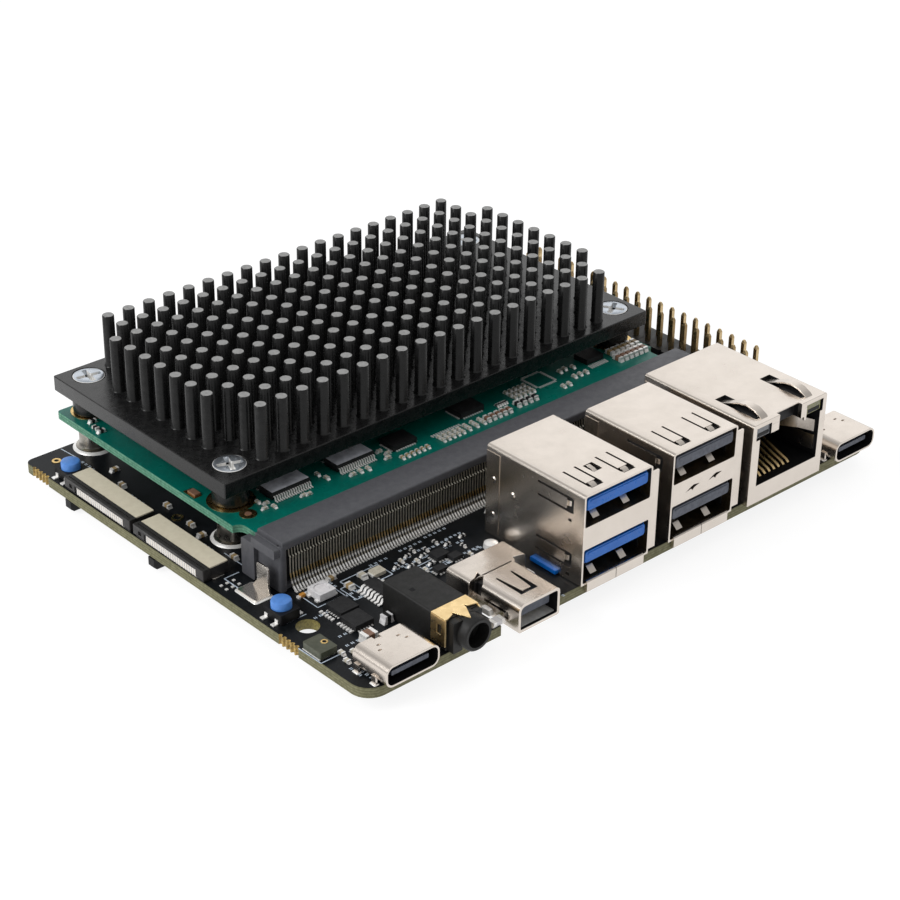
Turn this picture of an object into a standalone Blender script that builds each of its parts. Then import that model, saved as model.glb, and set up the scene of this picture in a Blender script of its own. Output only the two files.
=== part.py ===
"""Single board computer: a black carrier board with a plug-in computer module under a pin-fin heat sink.

Run with: blender --background --python part.py

Lengths are in millimetres and become metres where a mesh is made. +X runs along the edge that holds the
ports, -Y is that port edge, +Z is up. The origin is the middle of the underside of the whole assembly.
"""

import math

import bmesh
import bpy
from mathutils import Matrix, Vector

MM = 0.001
GAP = 0.1  # clearance between a part and the part it rests on

# Carrier board
BOARD_X, BOARD_Y = 100.0, 77.3
BOARD_THICK = 1.6
BOARD_BOTTOM = 2.4
BOARD_TOP = BOARD_BOTTOM + BOARD_THICK
BOARD_FRONT = -37.7
BOARD_BACK = BOARD_FRONT + BOARD_Y
BOARD_LEFT, BOARD_RIGHT = -BOARD_X / 2, BOARD_X / 2
BOARD_CORNER, BOARD_BACK_LEFT_CORNER = 3.0, 1.2
BOARD_LEAN = 0.6  # how far the left edge leans in at the front
ON_BOARD = BOARD_TOP + GAP
MOUNT_HOLES = [(-45.5, -21.2), (45.5, -21.2)]
MOUNT_HOLE_RADIUS = 1.6
TAB_PLACES = [(-1, 35.4), (-1, -22.2), (1, 34.0), (1, -29.0)]  # side of the board and Y of each break-off tab
TAB_BITES, TAB_PITCH, TAB_DEPTH = 5, 0.85, 0.35

# Computer module
MODULE_X, MODULE_Y, MODULE_THICK = 82.0, 50.0, 1.2
MODULE_MIDDLE_X = -2.6
MODULE_BACK = 40.0
MODULE_BOTTOM = 8.8
MODULE_TOP = MODULE_BOTTOM + MODULE_THICK
MODULE_NOTCH = 1.3
ON_MODULE = MODULE_TOP + GAP

# Heat sink
SINK_X, SINK_Y, SINK_THICK = 82.0, 41.6, 2.4
SINK_BOTTOM = 13.4
SINK_TOP = SINK_BOTTOM + SINK_THICK
SINK_MIDDLE_Y = 19.4
PIN_PITCH, PIN_RADIUS, PIN_TIP = 3.62, 0.92, 24.1
PIN_COLUMNS, PIN_ROWS, PIN_END_ROWS = 21, 11, 7
PIN_SIDES = 6

# Screws and spacers
SCREW_X, SCREW_Y = (-39.6, 35.0), (2.8, 36.9)
SCREW_HEAD_RADIUS, SCREW_HEAD_DEPTH, SCREW_RADIUS = 2.35, 1.4, 1.2
SCREW_END = 5.4
SPACER_RADIUS, SPACER_FLANGE, SPACER_BORE = 2.1, 2.8, 1.4
BOSS_RADIUS = 2.65

# Edge connector that holds the module
SLOT_LEFT, SLOT_RIGHT = -43.5, 38.9
SLOT_FRONT, SLOT_COVER_BACK, SLOT_BASE_BACK = -13.1, -7.7, -5.6
SLOT_TOP = BOARD_TOP + 7.8

# Port positions along the front edge: left, right, front, back, top
USB3 = (-12.1, 0.9, -38.1, -19.2, 18.2)
USB2 = (5.0, 18.1, -38.1, -21.1, 18.2)
ETHERNET = (20.6, 36.6, -38.9, -17.8, 17.2)
SHEET = 0.3  # thickness of a sheet-metal shield
USB_FLANGE = 1.3  # width of the grounding strip beside each stack

USB_C_WIDTH, USB_C_HEIGHT, USB_C_WALL = 8.94, 3.26, 0.32
USB_C_PLACES = {"left": (-42.7, -38.9, -32.3), "right": (44.3, -39.2, -32.0)}

DISPLAY_FRONT = (-25.1, -17.6, -39.6, -31.1)
DISPLAY_BACK = (-26.0, -15.4, -31.1, -26.4)
DISPLAY_TOP, DISPLAY_BOTTOM = 7.35, 3.05
DISPLAY_CUTOUT = (-26.35, -16.35, -30.4)

JACK_X, JACK_WIDTH, JACK_BACK, JACK_FRONT, JACK_HEIGHT = -33.2, 6.0, -25.4, -37.9, 5.0
JACK_NOSE_X, JACK_NOSE_Y, JACK_NOSE_RADIUS, JACK_BORE = -32.7, -40.2, 2.4, 1.8

# Pin header on the right-hand side
HEADER_X, HEADER_Y = 46.18, 7.7
HEADER_PITCH, HEADER_COUNT = 2.54, 20
HEADER_BASE, HEADER_TIP, HEADER_PIN = 2.5, 8.5, 0.64

# Flat-cable sockets on the left-hand side, and their flip-up latches
CABLE_SOCKET_Y = {"rear": 20.85, "front": 3.75}
CABLE_LENGTH, CABLE_HEIGHT, CABLE_BACK = 16.3, 2.0, -45.5
CABLE_SPLIT, CABLE_FRONT = -48.7, -49.95
LATCH_AXIS_X, LATCH_AXIS_Z = -48.85, 6.0
LATCH_ARM = 0.8

# Push buttons
BUTTON_PLACES = {"rear": (-47.2, 31.4), "front": (-46.6, -17.1)}
BUTTON_BODY = (3.3, 4.0, 1.5)
BUTTON_CAP_RADIUS, BUTTON_CAP_TOP = 1.48, 6.7


def clear_scene():
    for old in list(bpy.data.objects):
        bpy.data.objects.remove(old)


def material(name, colour, roughness, metallic=0.0):
    found = bpy.data.materials.get(name)
    if found:
        return found
    made = bpy.data.materials.new(name)
    made.use_nodes = True
    shader = made.node_tree.nodes["Principled BSDF"]
    shader.inputs["Base Color"].default_value = (*colour, 1.0)
    shader.inputs["Roughness"].default_value = roughness
    shader.inputs["Metallic"].default_value = metallic
    return made


def add(name, mesh, finish, at=(0, 0, 0), smooth=False):
    """Makes the object NAME from a bmesh in millimetres about the point at, and returns it."""
    bmesh.ops.recalc_face_normals(mesh, faces=mesh.faces)
    bmesh.ops.scale(mesh, vec=(MM, MM, MM), verts=mesh.verts)
    data = bpy.data.meshes.new(name)
    mesh.to_mesh(data)
    mesh.free()
    made = bpy.data.objects.new(name, data)
    made.location = Vector(at) * MM
    bpy.context.scene.collection.objects.link(made)
    data.materials.append(finish)
    if smooth:
        data.shade_smooth()
        data.set_sharp_from_angle(angle=math.radians(40))
    return made


def boolean(target, tool, operation="DIFFERENCE"):
    """Cuts TOOL from TARGET, or joins it on, and keeps TOOL as a hidden guide."""
    tool.hide_render = True
    tool.display_type = "WIRE"
    change = target.modifiers.new(tool.name, "BOOLEAN")
    change.operation = operation
    change.solver = "EXACT"
    change.object = tool


def guide(name, mesh, at=(0, 0, 0)):
    return add(name, mesh, material("guide", (0.5, 0.5, 0.5), 0.5), at)


def put_box(mesh, left, right, front, back, bottom, top):
    size = Matrix.Diagonal((right - left, back - front, top - bottom, 1))
    middle = Matrix.Translation(((left + right) / 2, (front + back) / 2, (bottom + top) / 2))
    bmesh.ops.create_cube(mesh, size=1.0, matrix=middle @ size)
    return mesh


def box(*sides):
    return put_box(bmesh.new(), *sides)


def put_prism(mesh, outline, low, high, axis="Z"):
    """Extrudes a closed outline of 2-D points from low to high along an axis."""
    place = {
        "X": lambda p, level: (level, p[0], p[1]),
        "Y": lambda p, level: (p[0], level, p[1]),
        "Z": lambda p, level: (p[0], p[1], level),
    }[axis]
    rings = [[mesh.verts.new(place(point, level)) for point in outline] for level in (low, high)]
    mesh.faces.new(rings[0])
    mesh.faces.new(rings[1])
    count = len(outline)
    for i in range(count):
        j = (i + 1) % count
        mesh.faces.new((rings[0][i], rings[0][j], rings[1][j], rings[1][i]))
    return mesh


def prism(outline, low, high, axis="Z"):
    return put_prism(bmesh.new(), outline, low, high, axis)


def circle(radius, sides, middle=(0.0, 0.0)):
    steps = [2 * math.pi * (i + 0.5) / sides for i in range(sides)]
    return [(middle[0] + radius * math.cos(a), middle[1] + radius * math.sin(a)) for a in steps]


def rounded_box(left, right, low, high, radius, steps=3):
    """Outline of a rectangle whose corners are arcs."""
    corners = [
        (right - radius, high - radius, 0),
        (left + radius, high - radius, 90),
        (left + radius, low + radius, 180),
        (right - radius, low + radius, 270),
    ]
    points = []
    for x, y, start in corners:
        for i in range(steps + 1):
            a = math.radians(start + 90 * i / steps)
            points.append((x + radius * math.cos(a), y + radius * math.sin(a)))
    return points


def put_turned(mesh, profile, sides, middle=(0.0, 0.0)):
    """Turns a profile of (radius, height) pairs, which starts and ends on the axis, about a vertical line."""
    rings = []
    for radius, height in profile:
        if radius == 0:
            rings.append([mesh.verts.new((middle[0], middle[1], height))])
        else:
            rings.append([mesh.verts.new((x, y, height)) for x, y in circle(radius, sides, middle)])
    for lower, upper in zip(rings, rings[1:]):
        for i in range(sides):
            j = (i + 1) % sides
            if len(lower) == 1:
                mesh.faces.new((lower[0], upper[j], upper[i]))
            elif len(upper) == 1:
                mesh.faces.new((lower[i], lower[j], upper[0]))
            else:
                mesh.faces.new((lower[i], lower[j], upper[j], upper[i]))
    return mesh


def carrier_outline():
    """Board outline: rounded corners, the notch under the display port, and the bitten break-off tabs."""
    left, right, notch_back = DISPLAY_CUTOUT
    sides = BOARD_LEFT, BOARD_RIGHT, BOARD_FRONT, BOARD_BACK
    arcs = rounded_box(*sides, BOARD_CORNER)
    quarter = len(arcs) // 4
    back_right, front_left, front_right = arcs[:quarter], arcs[2 * quarter : 3 * quarter], arcs[3 * quarter :]
    back_left = rounded_box(*sides, BOARD_BACK_LEFT_CORNER)[quarter : 2 * quarter]

    def bites(side, downwards):
        points = []
        for tab_side, middle in sorted(TAB_PLACES, key=lambda place: place[1], reverse=downwards):
            if tab_side != side:
                continue
            for i in range(TAB_BITES):
                along = (i - (TAB_BITES - 1) / 2) * TAB_PITCH
                y = middle - along if downwards else middle + along
                half = TAB_PITCH * 0.36 * (1 if downwards else -1)
                edge = side * BOARD_X / 2
                points += [(edge, y + half), (edge - side * TAB_DEPTH, y), (edge, y - half)]
        return points

    notch = [(left, BOARD_FRONT), (left, notch_back), (right, notch_back), (right, BOARD_FRONT)]
    left_side = back_left + bites(-1, True) + front_left
    leaning = [(x + BOARD_LEAN * (BOARD_BACK - y) / BOARD_Y, y) for x, y in left_side]
    return back_right + leaning + notch + front_right + bites(1, False)


def carrier_board():
    finish = material("black_solder_mask", (0.012, 0.012, 0.014), 0.4)
    board = add("carrier_board", prism(carrier_outline(), BOARD_BOTTOM, BOARD_TOP), finish)
    holes = bmesh.new()
    for place in MOUNT_HOLES:
        outline = circle(MOUNT_HOLE_RADIUS, 12, place)
        put_prism(holes, outline, BOARD_BOTTOM - 1, BOARD_TOP + 1)
    boolean(board, guide("carrier_hole_cutter", holes))


def module_board():
    """Module with a stepped front corner at each side, where it enters the edge connector."""
    left, right = MODULE_MIDDLE_X - MODULE_X / 2, MODULE_MIDDLE_X + MODULE_X / 2
    front = MODULE_BACK - MODULE_Y
    step = -4.1
    outline = [
        (right, MODULE_BACK),
        (left, MODULE_BACK),
        (left, step + MODULE_NOTCH),
        (left + MODULE_NOTCH, step),
        (left + MODULE_NOTCH, front),
        (right - MODULE_NOTCH, front),
        (right - MODULE_NOTCH, step),
        (right, step + MODULE_NOTCH),
    ]
    finish = material("green_solder_mask", (0.0, 0.13, 0.1), 0.35)
    board = add("module_board", prism(outline, MODULE_BOTTOM, MODULE_TOP), finish)
    holes = bmesh.new()
    for x in SCREW_X:
        for y in SCREW_Y:
            put_prism(holes, circle(SPACER_BORE, 8, (x, y)), MODULE_BOTTOM - 1, MODULE_TOP + 1)
    boolean(board, guide("module_hole_cutter", holes))


def heat_sink():
    finish = material("black_anodised_aluminium", (0.02, 0.02, 0.022), 0.45, 0.6)
    left = MODULE_MIDDLE_X - SINK_X / 2
    front = SINK_MIDDLE_Y - SINK_Y / 2
    plate = box(left, left + SINK_X, front, front + SINK_Y, SINK_BOTTOM, SINK_TOP)
    sink = add("heat_sink", plate, finish)
    extras = bmesh.new()
    for column in range(PIN_COLUMNS):
        end = column in (0, PIN_COLUMNS - 1)
        rows = PIN_END_ROWS if end else PIN_ROWS
        x = MODULE_MIDDLE_X + (column - (PIN_COLUMNS - 1) / 2) * PIN_PITCH
        for row in range(rows):
            y = SINK_MIDDLE_Y + (row - (rows - 1) / 2) * PIN_PITCH
            put_prism(extras, circle(PIN_RADIUS, PIN_SIDES, (x, y)), SINK_TOP - 0.5, PIN_TIP)
    for x in SCREW_X:
        for y in SCREW_Y:
            put_prism(extras, circle(BOSS_RADIUS, 12, (x, y)), ON_MODULE, SINK_BOTTOM + 0.5)
    put_box(extras, -14.6, 9.4, 9.4, 29.4, 12.3, SINK_BOTTOM + 0.5)
    boolean(sink, guide("heat_sink_pins", extras), "UNION")
    holes = bmesh.new()
    for x in SCREW_X:
        for y in SCREW_Y:
            bore = SCREW_RADIUS + 0.2
            head = SCREW_HEAD_RADIUS + GAP
            profile = [(0, 9), (bore, 9), (bore, SINK_TOP - SCREW_HEAD_DEPTH - GAP)]
            profile += [(head, SINK_TOP - 2 * GAP), (head, SINK_TOP + 1), (0, SINK_TOP + 1)]
            put_turned(holes, profile, 12, (x, y))
    boolean(sink, guide("heat_sink_hole_cutter", holes))


def screws_and_spacers():
    zinc = material("zinc_plated_steel", (0.75, 0.77, 0.8), 0.25, 1.0)
    tin = material("tinned_steel", (0.6, 0.56, 0.5), 0.35, 1.0)
    number = 0
    for y in SCREW_Y:
        for x in SCREW_X:
            number += 1
            profile = [
                (0, SCREW_END),
                (SCREW_RADIUS, SCREW_END),
                (SCREW_RADIUS, SINK_TOP - SCREW_HEAD_DEPTH),
                (SCREW_HEAD_RADIUS, SINK_TOP - GAP),
                (SCREW_HEAD_RADIUS, SINK_TOP),
                (0, SINK_TOP),
            ]
            turned = put_turned(bmesh.new(), profile, 12)
            add(f"heat_sink_screw_{number}", turned, zinc, (x, y, 0), smooth=True)
            outer = [
                (0, ON_BOARD),
                (SPACER_FLANGE, ON_BOARD),
                (SPACER_FLANGE, ON_BOARD + 0.4),
                (SPACER_RADIUS, ON_BOARD + 0.4),
                (SPACER_RADIUS, MODULE_BOTTOM - GAP),
                (0, MODULE_BOTTOM - GAP),
            ]
            spacer = add(f"spacer_{number}", put_turned(bmesh.new(), outer, 12), tin, (x, y, 0), smooth=True)
            bore = prism(circle(SPACER_BORE, 12), 2, 10)
            boolean(spacer, guide(f"spacer_bore_cutter_{number}", bore, (x, y, 0)))


def edge_connector():
    plastic = material("grey_black_plastic", (0.035, 0.036, 0.04), 0.45)
    metal = material("tinned_contact_alloy", (0.45, 0.38, 0.26), 0.35, 1.0)
    slot_low, slot_high = MODULE_BOTTOM - GAP, MODULE_TOP + GAP
    spine = MODULE_BACK - MODULE_Y - GAP
    front, top = SLOT_FRONT + 0.6, SLOT_TOP - 0.9
    profile = [
        (front, ON_BOARD),
        (SLOT_BASE_BACK, ON_BOARD),
        (SLOT_BASE_BACK, slot_low),
        (spine, slot_low),
        (spine, slot_high),
        (SLOT_COVER_BACK, slot_high),
        (SLOT_COVER_BACK, SLOT_TOP),
        (SLOT_FRONT, SLOT_TOP),
        (SLOT_FRONT, top),
        (front, top),
    ]
    housing = add("edge_connector_housing", prism(profile, SLOT_LEFT, SLOT_RIGHT, "X"), plastic)
    ears = bmesh.new()
    ledges = bmesh.new()
    for side, end in ((-1, SLOT_LEFT), (1, SLOT_RIGHT)):
        tower = sorted((end + side * 0.7, end - side * 0.3))
        post = sorted((end + side * 1.2, end - side * 0.9))
        ledge = sorted((end + side * 0.9, end - side * 0.3))
        put_box(ears, *tower, -8.2, SLOT_BASE_BACK + 0.2, ON_BOARD, MODULE_TOP - 0.2)
        put_box(ears, *post, SLOT_FRONT, -10.6, ON_BOARD, SLOT_TOP - 0.6)
        put_box(ledges, *ledge, SLOT_FRONT + 0.2, SLOT_COVER_BACK - 0.2, MODULE_TOP - 0.4, SLOT_TOP - 0.8)
    boolean(housing, guide("edge_connector_ears", ears), "UNION")
    boolean(housing, guide("edge_connector_ledges", ledges), "UNION")
    bank = [
        (SLOT_FRONT - 0.9, ON_BOARD),
        (front - GAP, ON_BOARD),
        (front - GAP, top - GAP),
        (SLOT_FRONT, top - GAP),
        (SLOT_FRONT, ON_BOARD + 0.5),
        (SLOT_FRONT - 0.9, ON_BOARD + 0.3),
    ]
    ends = SLOT_LEFT + 1.2, SLOT_RIGHT - 1.2
    add("edge_connector_contacts", prism(bank, *ends, "X"), metal)
    tin = material("tinned_steel", (0.6, 0.56, 0.5), 0.35, 1.0)
    for name, side, end in (("left", -1, SLOT_LEFT), ("right", 1, SLOT_RIGHT)):
        wall = end + side * 1.3
        foot = sorted((wall, wall + side * 2.6))
        clip = add(f"edge_connector_clip_{name}", box(*foot, -12.6, -8.4, ON_BOARD, ON_BOARD + 0.3), tin)
        blade = [
            (-12.6, ON_BOARD),
            (-8.8, ON_BOARD),
            (-10.0, ON_BOARD + 1.6),
            (-10.0, ON_BOARD + 4.3),
            (-12.3, ON_BOARD + 4.3),
        ]
        upright = prism(blade, *sorted((wall, wall + side * 0.3)), "X")
        boolean(clip, guide(f"edge_connector_clip_blade_{name}", upright), "UNION")


def module_parts():
    """Chips on the module: the processor and its pad under the heat sink, memory, storage and two side chips."""
    black = material("chip_black", (0.03, 0.03, 0.033), 0.5)
    grey = material("thermal_pad_grey", (0.35, 0.36, 0.38), 0.8)
    middle = MODULE_MIDDLE_X
    add("processor", box(middle - 10.5, middle + 10.5, 10.4, 28.4, ON_MODULE, 11.7), black)
    add("thermal_pad", box(middle - 9, middle + 9, 11.9, 26.9, 11.8, 12.2), grey)
    for name, x, y, size, height in (
        ("memory_chip_1", middle - 20.5, 24.5, (10, 14.5), 1.0),
        ("memory_chip_2", middle + 20.5, 24.5, (10, 14.5), 1.0),
        ("storage_chip", middle - 21, 9.0, (13, 11.5), 1.0),
        ("power_manager_chip", middle + 21, 8.0, (8, 8), 0.9),
    ):
        half_x, half_y = size[0] / 2, size[1] / 2
        add(name, box(x - half_x, x + half_x, y - half_y, y + half_y, ON_MODULE, ON_MODULE + height), black)
    for number, left in ((1, -35.6), (2, -24.0)):
        leads = box(left + 0.4, left + 6.5, -1.9, 2.6, ON_MODULE, ON_MODULE + 0.3)
        chip = add(f"bus_chip_{number}", leads, black)
        cap = box(left, left + 6.9, -1.2, 1.9, ON_MODULE + 0.15, ON_MODULE + 1.1)
        boolean(chip, guide(f"bus_chip_body_{number}", cap), "UNION")


def usb_stack(name, place, colour):
    """Two stacked type A ports: a sheet-metal shield, and one moulding with a tongue in each port."""
    left, right, front, back, top = place
    steel = material("nickel_silver", (0.78, 0.73, 0.68), 0.3, 1.0)
    shield = add(f"{name}_shield", box(left, right, front, back, ON_BOARD, top), steel)
    inner_left, inner_right = left + SHEET, right - SHEET
    room_front = front + 11.5
    low = (ON_BOARD + SHEET, 9.7)
    high = (13.2, top - SHEET)
    hollow = bmesh.new()
    put_box(hollow, inner_left, inner_right, front - 1, room_front + 1, *low)
    boolean(shield, guide(f"{name}_lower_port_cutter", hollow))
    hollow = box(inner_left, inner_right, front - 1, room_front + 1, *high)
    boolean(shield, guide(f"{name}_upper_port_cutter", hollow))
    hollow = box(inner_left, inner_right, room_front, back - SHEET, low[0], high[1])
    boolean(shield, guide(f"{name}_back_cutter", hollow))
    skirt = bmesh.new()
    put_box(skirt, right - SHEET, right + USB_FLANGE, front, front + SHEET, ON_BOARD + 0.7, top - 1.2)
    put_box(skirt, left + 0.9, right - 1.1, front - SHEET, BOARD_FRONT - GAP, BOARD_TOP - 1.1, ON_BOARD + 0.6)
    boolean(shield, guide(f"{name}_skirt", skirt), "UNION")
    moulding = material(f"{name}_plastic", colour, 0.4)
    block = box(inner_left + GAP, inner_right - GAP, room_front + GAP, back - SHEET - GAP,
                low[0] + GAP, high[1] - GAP)
    insert = add(f"{name}_insert", block, moulding)
    for level, ceiling in (("lower", low[1]), ("upper", high[1])):
        tongue = box(left + 0.9, right - 0.9, front + 0.6, room_front + 1, ceiling - 2.3, ceiling - 0.4)
        boolean(insert, guide(f"{name}_{level}_tongue", tongue), "UNION")


def ethernet_port():
    left, right, front, back, top = ETHERNET
    steel = material("nickel_silver", (0.78, 0.73, 0.68), 0.3, 1.0)
    black = material("port_black_plastic", (0.015, 0.015, 0.016), 0.5)
    gold = material("gold_plate", (0.8, 0.6, 0.3), 0.25, 1.0)
    shield = add("ethernet_shield", box(left, right, front, back, ON_BOARD, top), steel)
    hollow = box(left + SHEET, right - SHEET, front + SHEET, back - SHEET, ON_BOARD + SHEET, top - SHEET)
    boolean(shield, guide("ethernet_room_cutter", hollow))
    window = box(left + 1.6, right - 1.3, front - 1, front + 1, ON_BOARD + 2.9, top - 2.4)
    boolean(shield, guide("ethernet_window_cutter", window))
    notch = box(left + 5.5, left + 10.1, front - 1, front + 1.6, top - 3, top + 1)
    boolean(shield, guide("ethernet_latch_notch_cutter", notch))
    for name, low, high in (("left", left + 1.0, left + 3.9), ("right", right - 4.1, right - 1.0)):
        lamp = box(low, high, front - 1, front + 1, top - 2.2, top - 0.8)
        boolean(shield, guide(f"ethernet_lamp_cutter_{name}", lamp))
    body = box(left + 0.5, right - 0.5, front + 0.4, back - 0.5, ON_BOARD + 0.5, top - 0.5)
    insert = add("ethernet_insert", body, black)
    cavity = box(left + 1.8, right - 1.5, front - 1, front + 13.5, ON_BOARD + 2.9, top - 2.6)
    boolean(insert, guide("ethernet_cavity_cutter", cavity))
    latch = box(left + 5.5, left + 10.1, front - 1, front + 7, top - 3, top + 1)
    boolean(insert, guide("ethernet_latch_cutter", latch))
    for name, low, high, colour in (
        ("left", left + 1.1, left + 3.8, (0.25, 0.26, 0.28)),
        ("right", right - 4.0, right - 1.1, (0.3, 0.27, 0.08)),
    ):
        pocket = box(low - 0.1, high + 0.1, front - 1, front + 8.1, top - 2.3, top)
        boolean(insert, guide(f"ethernet_pocket_cutter_{name}", pocket))
        pipe = material(f"light_pipe_{name}", colour, 0.2)
        add(f"ethernet_light_pipe_{name}", box(low, high, front + 0.02, front + 8, top - 2.1, top - 0.9), pipe)
    comb = box(left + 3.4, left + 12.2, front + 12.0, front + 12.8, ON_BOARD + 3.0, ON_BOARD + 5.8)
    contacts = add("ethernet_contacts", comb, gold)
    springs = bmesh.new()
    for i in range(8):
        x = left + 4.0 + 1.02 * i
        slope = [
            (front + 2.2, ON_BOARD + 3.0),
            (front + 2.6, ON_BOARD + 3.0),
            (front + 12.4, ON_BOARD + 5.2),
            (front + 12.4, ON_BOARD + 5.6),
        ]
        put_prism(springs, slope, x, x + 0.5, "X")
    boolean(contacts, guide("ethernet_spring_guide", springs), "UNION")


def usb_c_port(side):
    middle, front, back = USB_C_PLACES[side]
    steel = material("nickel_silver", (0.78, 0.73, 0.68), 0.3, 1.0)
    plastic = material("port_black_plastic", (0.015, 0.015, 0.016), 0.5)
    half = USB_C_WIDTH / 2
    low, high = ON_BOARD, ON_BOARD + USB_C_HEIGHT
    radius = USB_C_HEIGHT / 2 - 0.05
    outline = rounded_box(middle - half, middle + half, low, high, radius)
    shell = add(f"usb_c_shell_{side}", prism(outline, front, back, "Y"), steel, smooth=True)
    inner = rounded_box(middle - half + USB_C_WALL, middle + half - USB_C_WALL,
                        low + USB_C_WALL, high - USB_C_WALL, radius - USB_C_WALL)
    boolean(shell, guide(f"usb_c_cutter_{side}", prism(inner, front - 1, back - 0.4, "Y")))
    level = (low + high) / 2
    rear = box(middle - 3.35, middle + 3.35, back - 2.2, back - 0.5, low + 0.6, high - 0.6)
    tongue = add(f"usb_c_tongue_{side}", rear, plastic)
    blade = box(middle - 3.35, middle + 3.35, front + 0.6, back - 2, level - 0.35, level + 0.35)
    boolean(tongue, guide(f"usb_c_blade_{side}", blade), "UNION")


def display_port():
    steel = material("nickel_silver", (0.78, 0.73, 0.68), 0.3, 1.0)
    plastic = material("port_black_plastic", (0.015, 0.015, 0.016), 0.5)
    left, right, front, back = DISPLAY_FRONT
    chamfer = 0.9
    outline = [
        (left, DISPLAY_BOTTOM),
        (right, DISPLAY_BOTTOM),
        (right, DISPLAY_TOP - chamfer),
        (right - chamfer, DISPLAY_TOP),
        (left + chamfer, DISPLAY_TOP),
        (left, DISPLAY_TOP - chamfer),
    ]
    shell = add("display_port_shell", prism(outline, front, back + 0.4, "Y"), steel)
    wide_left, wide_right, wide_front, wide_back = DISPLAY_BACK
    wide = box(wide_left, wide_right, wide_front, wide_back, ON_BOARD, DISPLAY_TOP)
    boolean(shell, guide("display_port_wide_part", wide), "UNION")
    wall = 0.35
    hollow = box(left + wall, right - wall, front - 1, back, DISPLAY_BOTTOM + wall, DISPLAY_TOP - 1.25)
    boolean(shell, guide("display_port_cutter", hollow))
    rear = box(left + 0.6, right - 0.6, back - 1.6, back - 0.1, DISPLAY_BOTTOM + 0.5, DISPLAY_TOP - 1.4)
    tongue = add("display_port_tongue", rear, plastic)
    blade = box(left + 1.3, right - 1.3, front + 0.8, back - 1, 4.6, 5.3)
    boolean(tongue, guide("display_port_blade", blade), "UNION")


def audio_jack():
    black = material("matte_black_nylon", (0.02, 0.02, 0.021), 0.6)
    brass = material("brass", (0.85, 0.65, 0.35), 0.3, 1.0)
    left, right = JACK_X - JACK_WIDTH / 2, JACK_X + JACK_WIDTH / 2
    top = ON_BOARD + JACK_HEIGHT
    axis = ON_BOARD + JACK_HEIGHT / 2
    step = JACK_FRONT + 3.2
    body = add("audio_jack_body", box(left, right, step, JACK_BACK, ON_BOARD, top), black)
    neck = box(left + 0.35, right - 0.35, JACK_FRONT, step + 1, ON_BOARD + 0.05, top - 0.35)
    boolean(body, guide("audio_jack_neck", neck), "UNION")
    nose = prism(circle(JACK_NOSE_RADIUS, 16, (JACK_NOSE_X, axis)), JACK_NOSE_Y, JACK_FRONT + 0.1, "Y")
    boolean(body, guide("audio_jack_nose", nose), "UNION")
    bore = prism(circle(JACK_BORE, 16, (JACK_NOSE_X, axis)), JACK_NOSE_Y - 1, JACK_BACK - 1.5, "Y")
    boolean(body, guide("audio_jack_bore_cutter", bore))
    sleeve = 0.25
    arch = [
        (left, ON_BOARD + 0.8),
        (left + sleeve, ON_BOARD + 0.8),
        (left + sleeve, top - sleeve),
        (right - sleeve, top - sleeve),
        (right - sleeve, ON_BOARD + 0.8),
        (right, ON_BOARD + 0.8),
        (right, top),
        (left, top),
    ]
    add("audio_jack_clip", prism(arch, JACK_FRONT + 0.2, step - GAP, "Y"), brass)


def pin_header():
    black = material("header_black_plastic", (0.015, 0.015, 0.016), 0.5)
    length = HEADER_PITCH * HEADER_COUNT
    base = box(HEADER_X - HEADER_PITCH, HEADER_X + HEADER_PITCH, HEADER_Y - length / 2,
               HEADER_Y + length / 2, ON_BOARD, BOARD_TOP + HEADER_BASE)
    header = add("pin_header", base, black)
    pins = bmesh.new()
    half = HEADER_PIN / 2
    for side in (-0.5, 0.5):
        for i in range(HEADER_COUNT):
            x = HEADER_X + side * HEADER_PITCH
            y = HEADER_Y + (i - (HEADER_COUNT - 1) / 2) * HEADER_PITCH
            put_box(pins, x - half, x + half, y - half, y + half, BOARD_TOP + 1.5, BOARD_TOP + HEADER_TIP)
    boolean(header, guide("pin_header_pins", pins), "UNION")


def cable_socket(name, middle):
    """Flat-cable socket: a cream housing with a front lip, and a dark latch bar that hinges up over the slot."""
    cream = material("cream_plastic", (0.72, 0.68, 0.55), 0.5)
    dark = material("latch_dark_plastic", (0.06, 0.055, 0.055), 0.45)
    low, top = ON_BOARD, ON_BOARD + CABLE_HEIGHT
    half = CABLE_LENGTH / 2
    lip = low + 0.75
    reach = half - 0.35
    body = box(CABLE_SPLIT + 0.05, CABLE_BACK, middle - reach, middle + reach, low, top - 0.1)
    socket = add(f"cable_socket_{name}", body, cream)
    reach = half - LATCH_ARM - GAP
    shelf = box(CABLE_FRONT, CABLE_SPLIT + 0.5, middle - reach, middle + reach, low, lip)
    boolean(socket, guide(f"cable_socket_lip_{name}", shelf), "UNION")
    front, back = CABLE_FRONT - LATCH_AXIS_X, CABLE_SPLIT - 0.05 - LATCH_AXIS_X
    bar = box(front, back, -half, half, lip + 0.35 - LATCH_AXIS_Z, top - LATCH_AXIS_Z)
    latch = add(f"cable_latch_{name}", bar, dark, (LATCH_AXIS_X, middle, LATCH_AXIS_Z))
    arms = bmesh.new()
    for end in (-1, 1):
        ends = sorted((end * half, end * (half - LATCH_ARM)))
        put_box(arms, front, back, *ends, low + 0.35 - LATCH_AXIS_Z, top - LATCH_AXIS_Z)
    boolean(latch, guide(f"cable_latch_arms_{name}", arms, (LATCH_AXIS_X, middle, LATCH_AXIS_Z)), "UNION")


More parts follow.
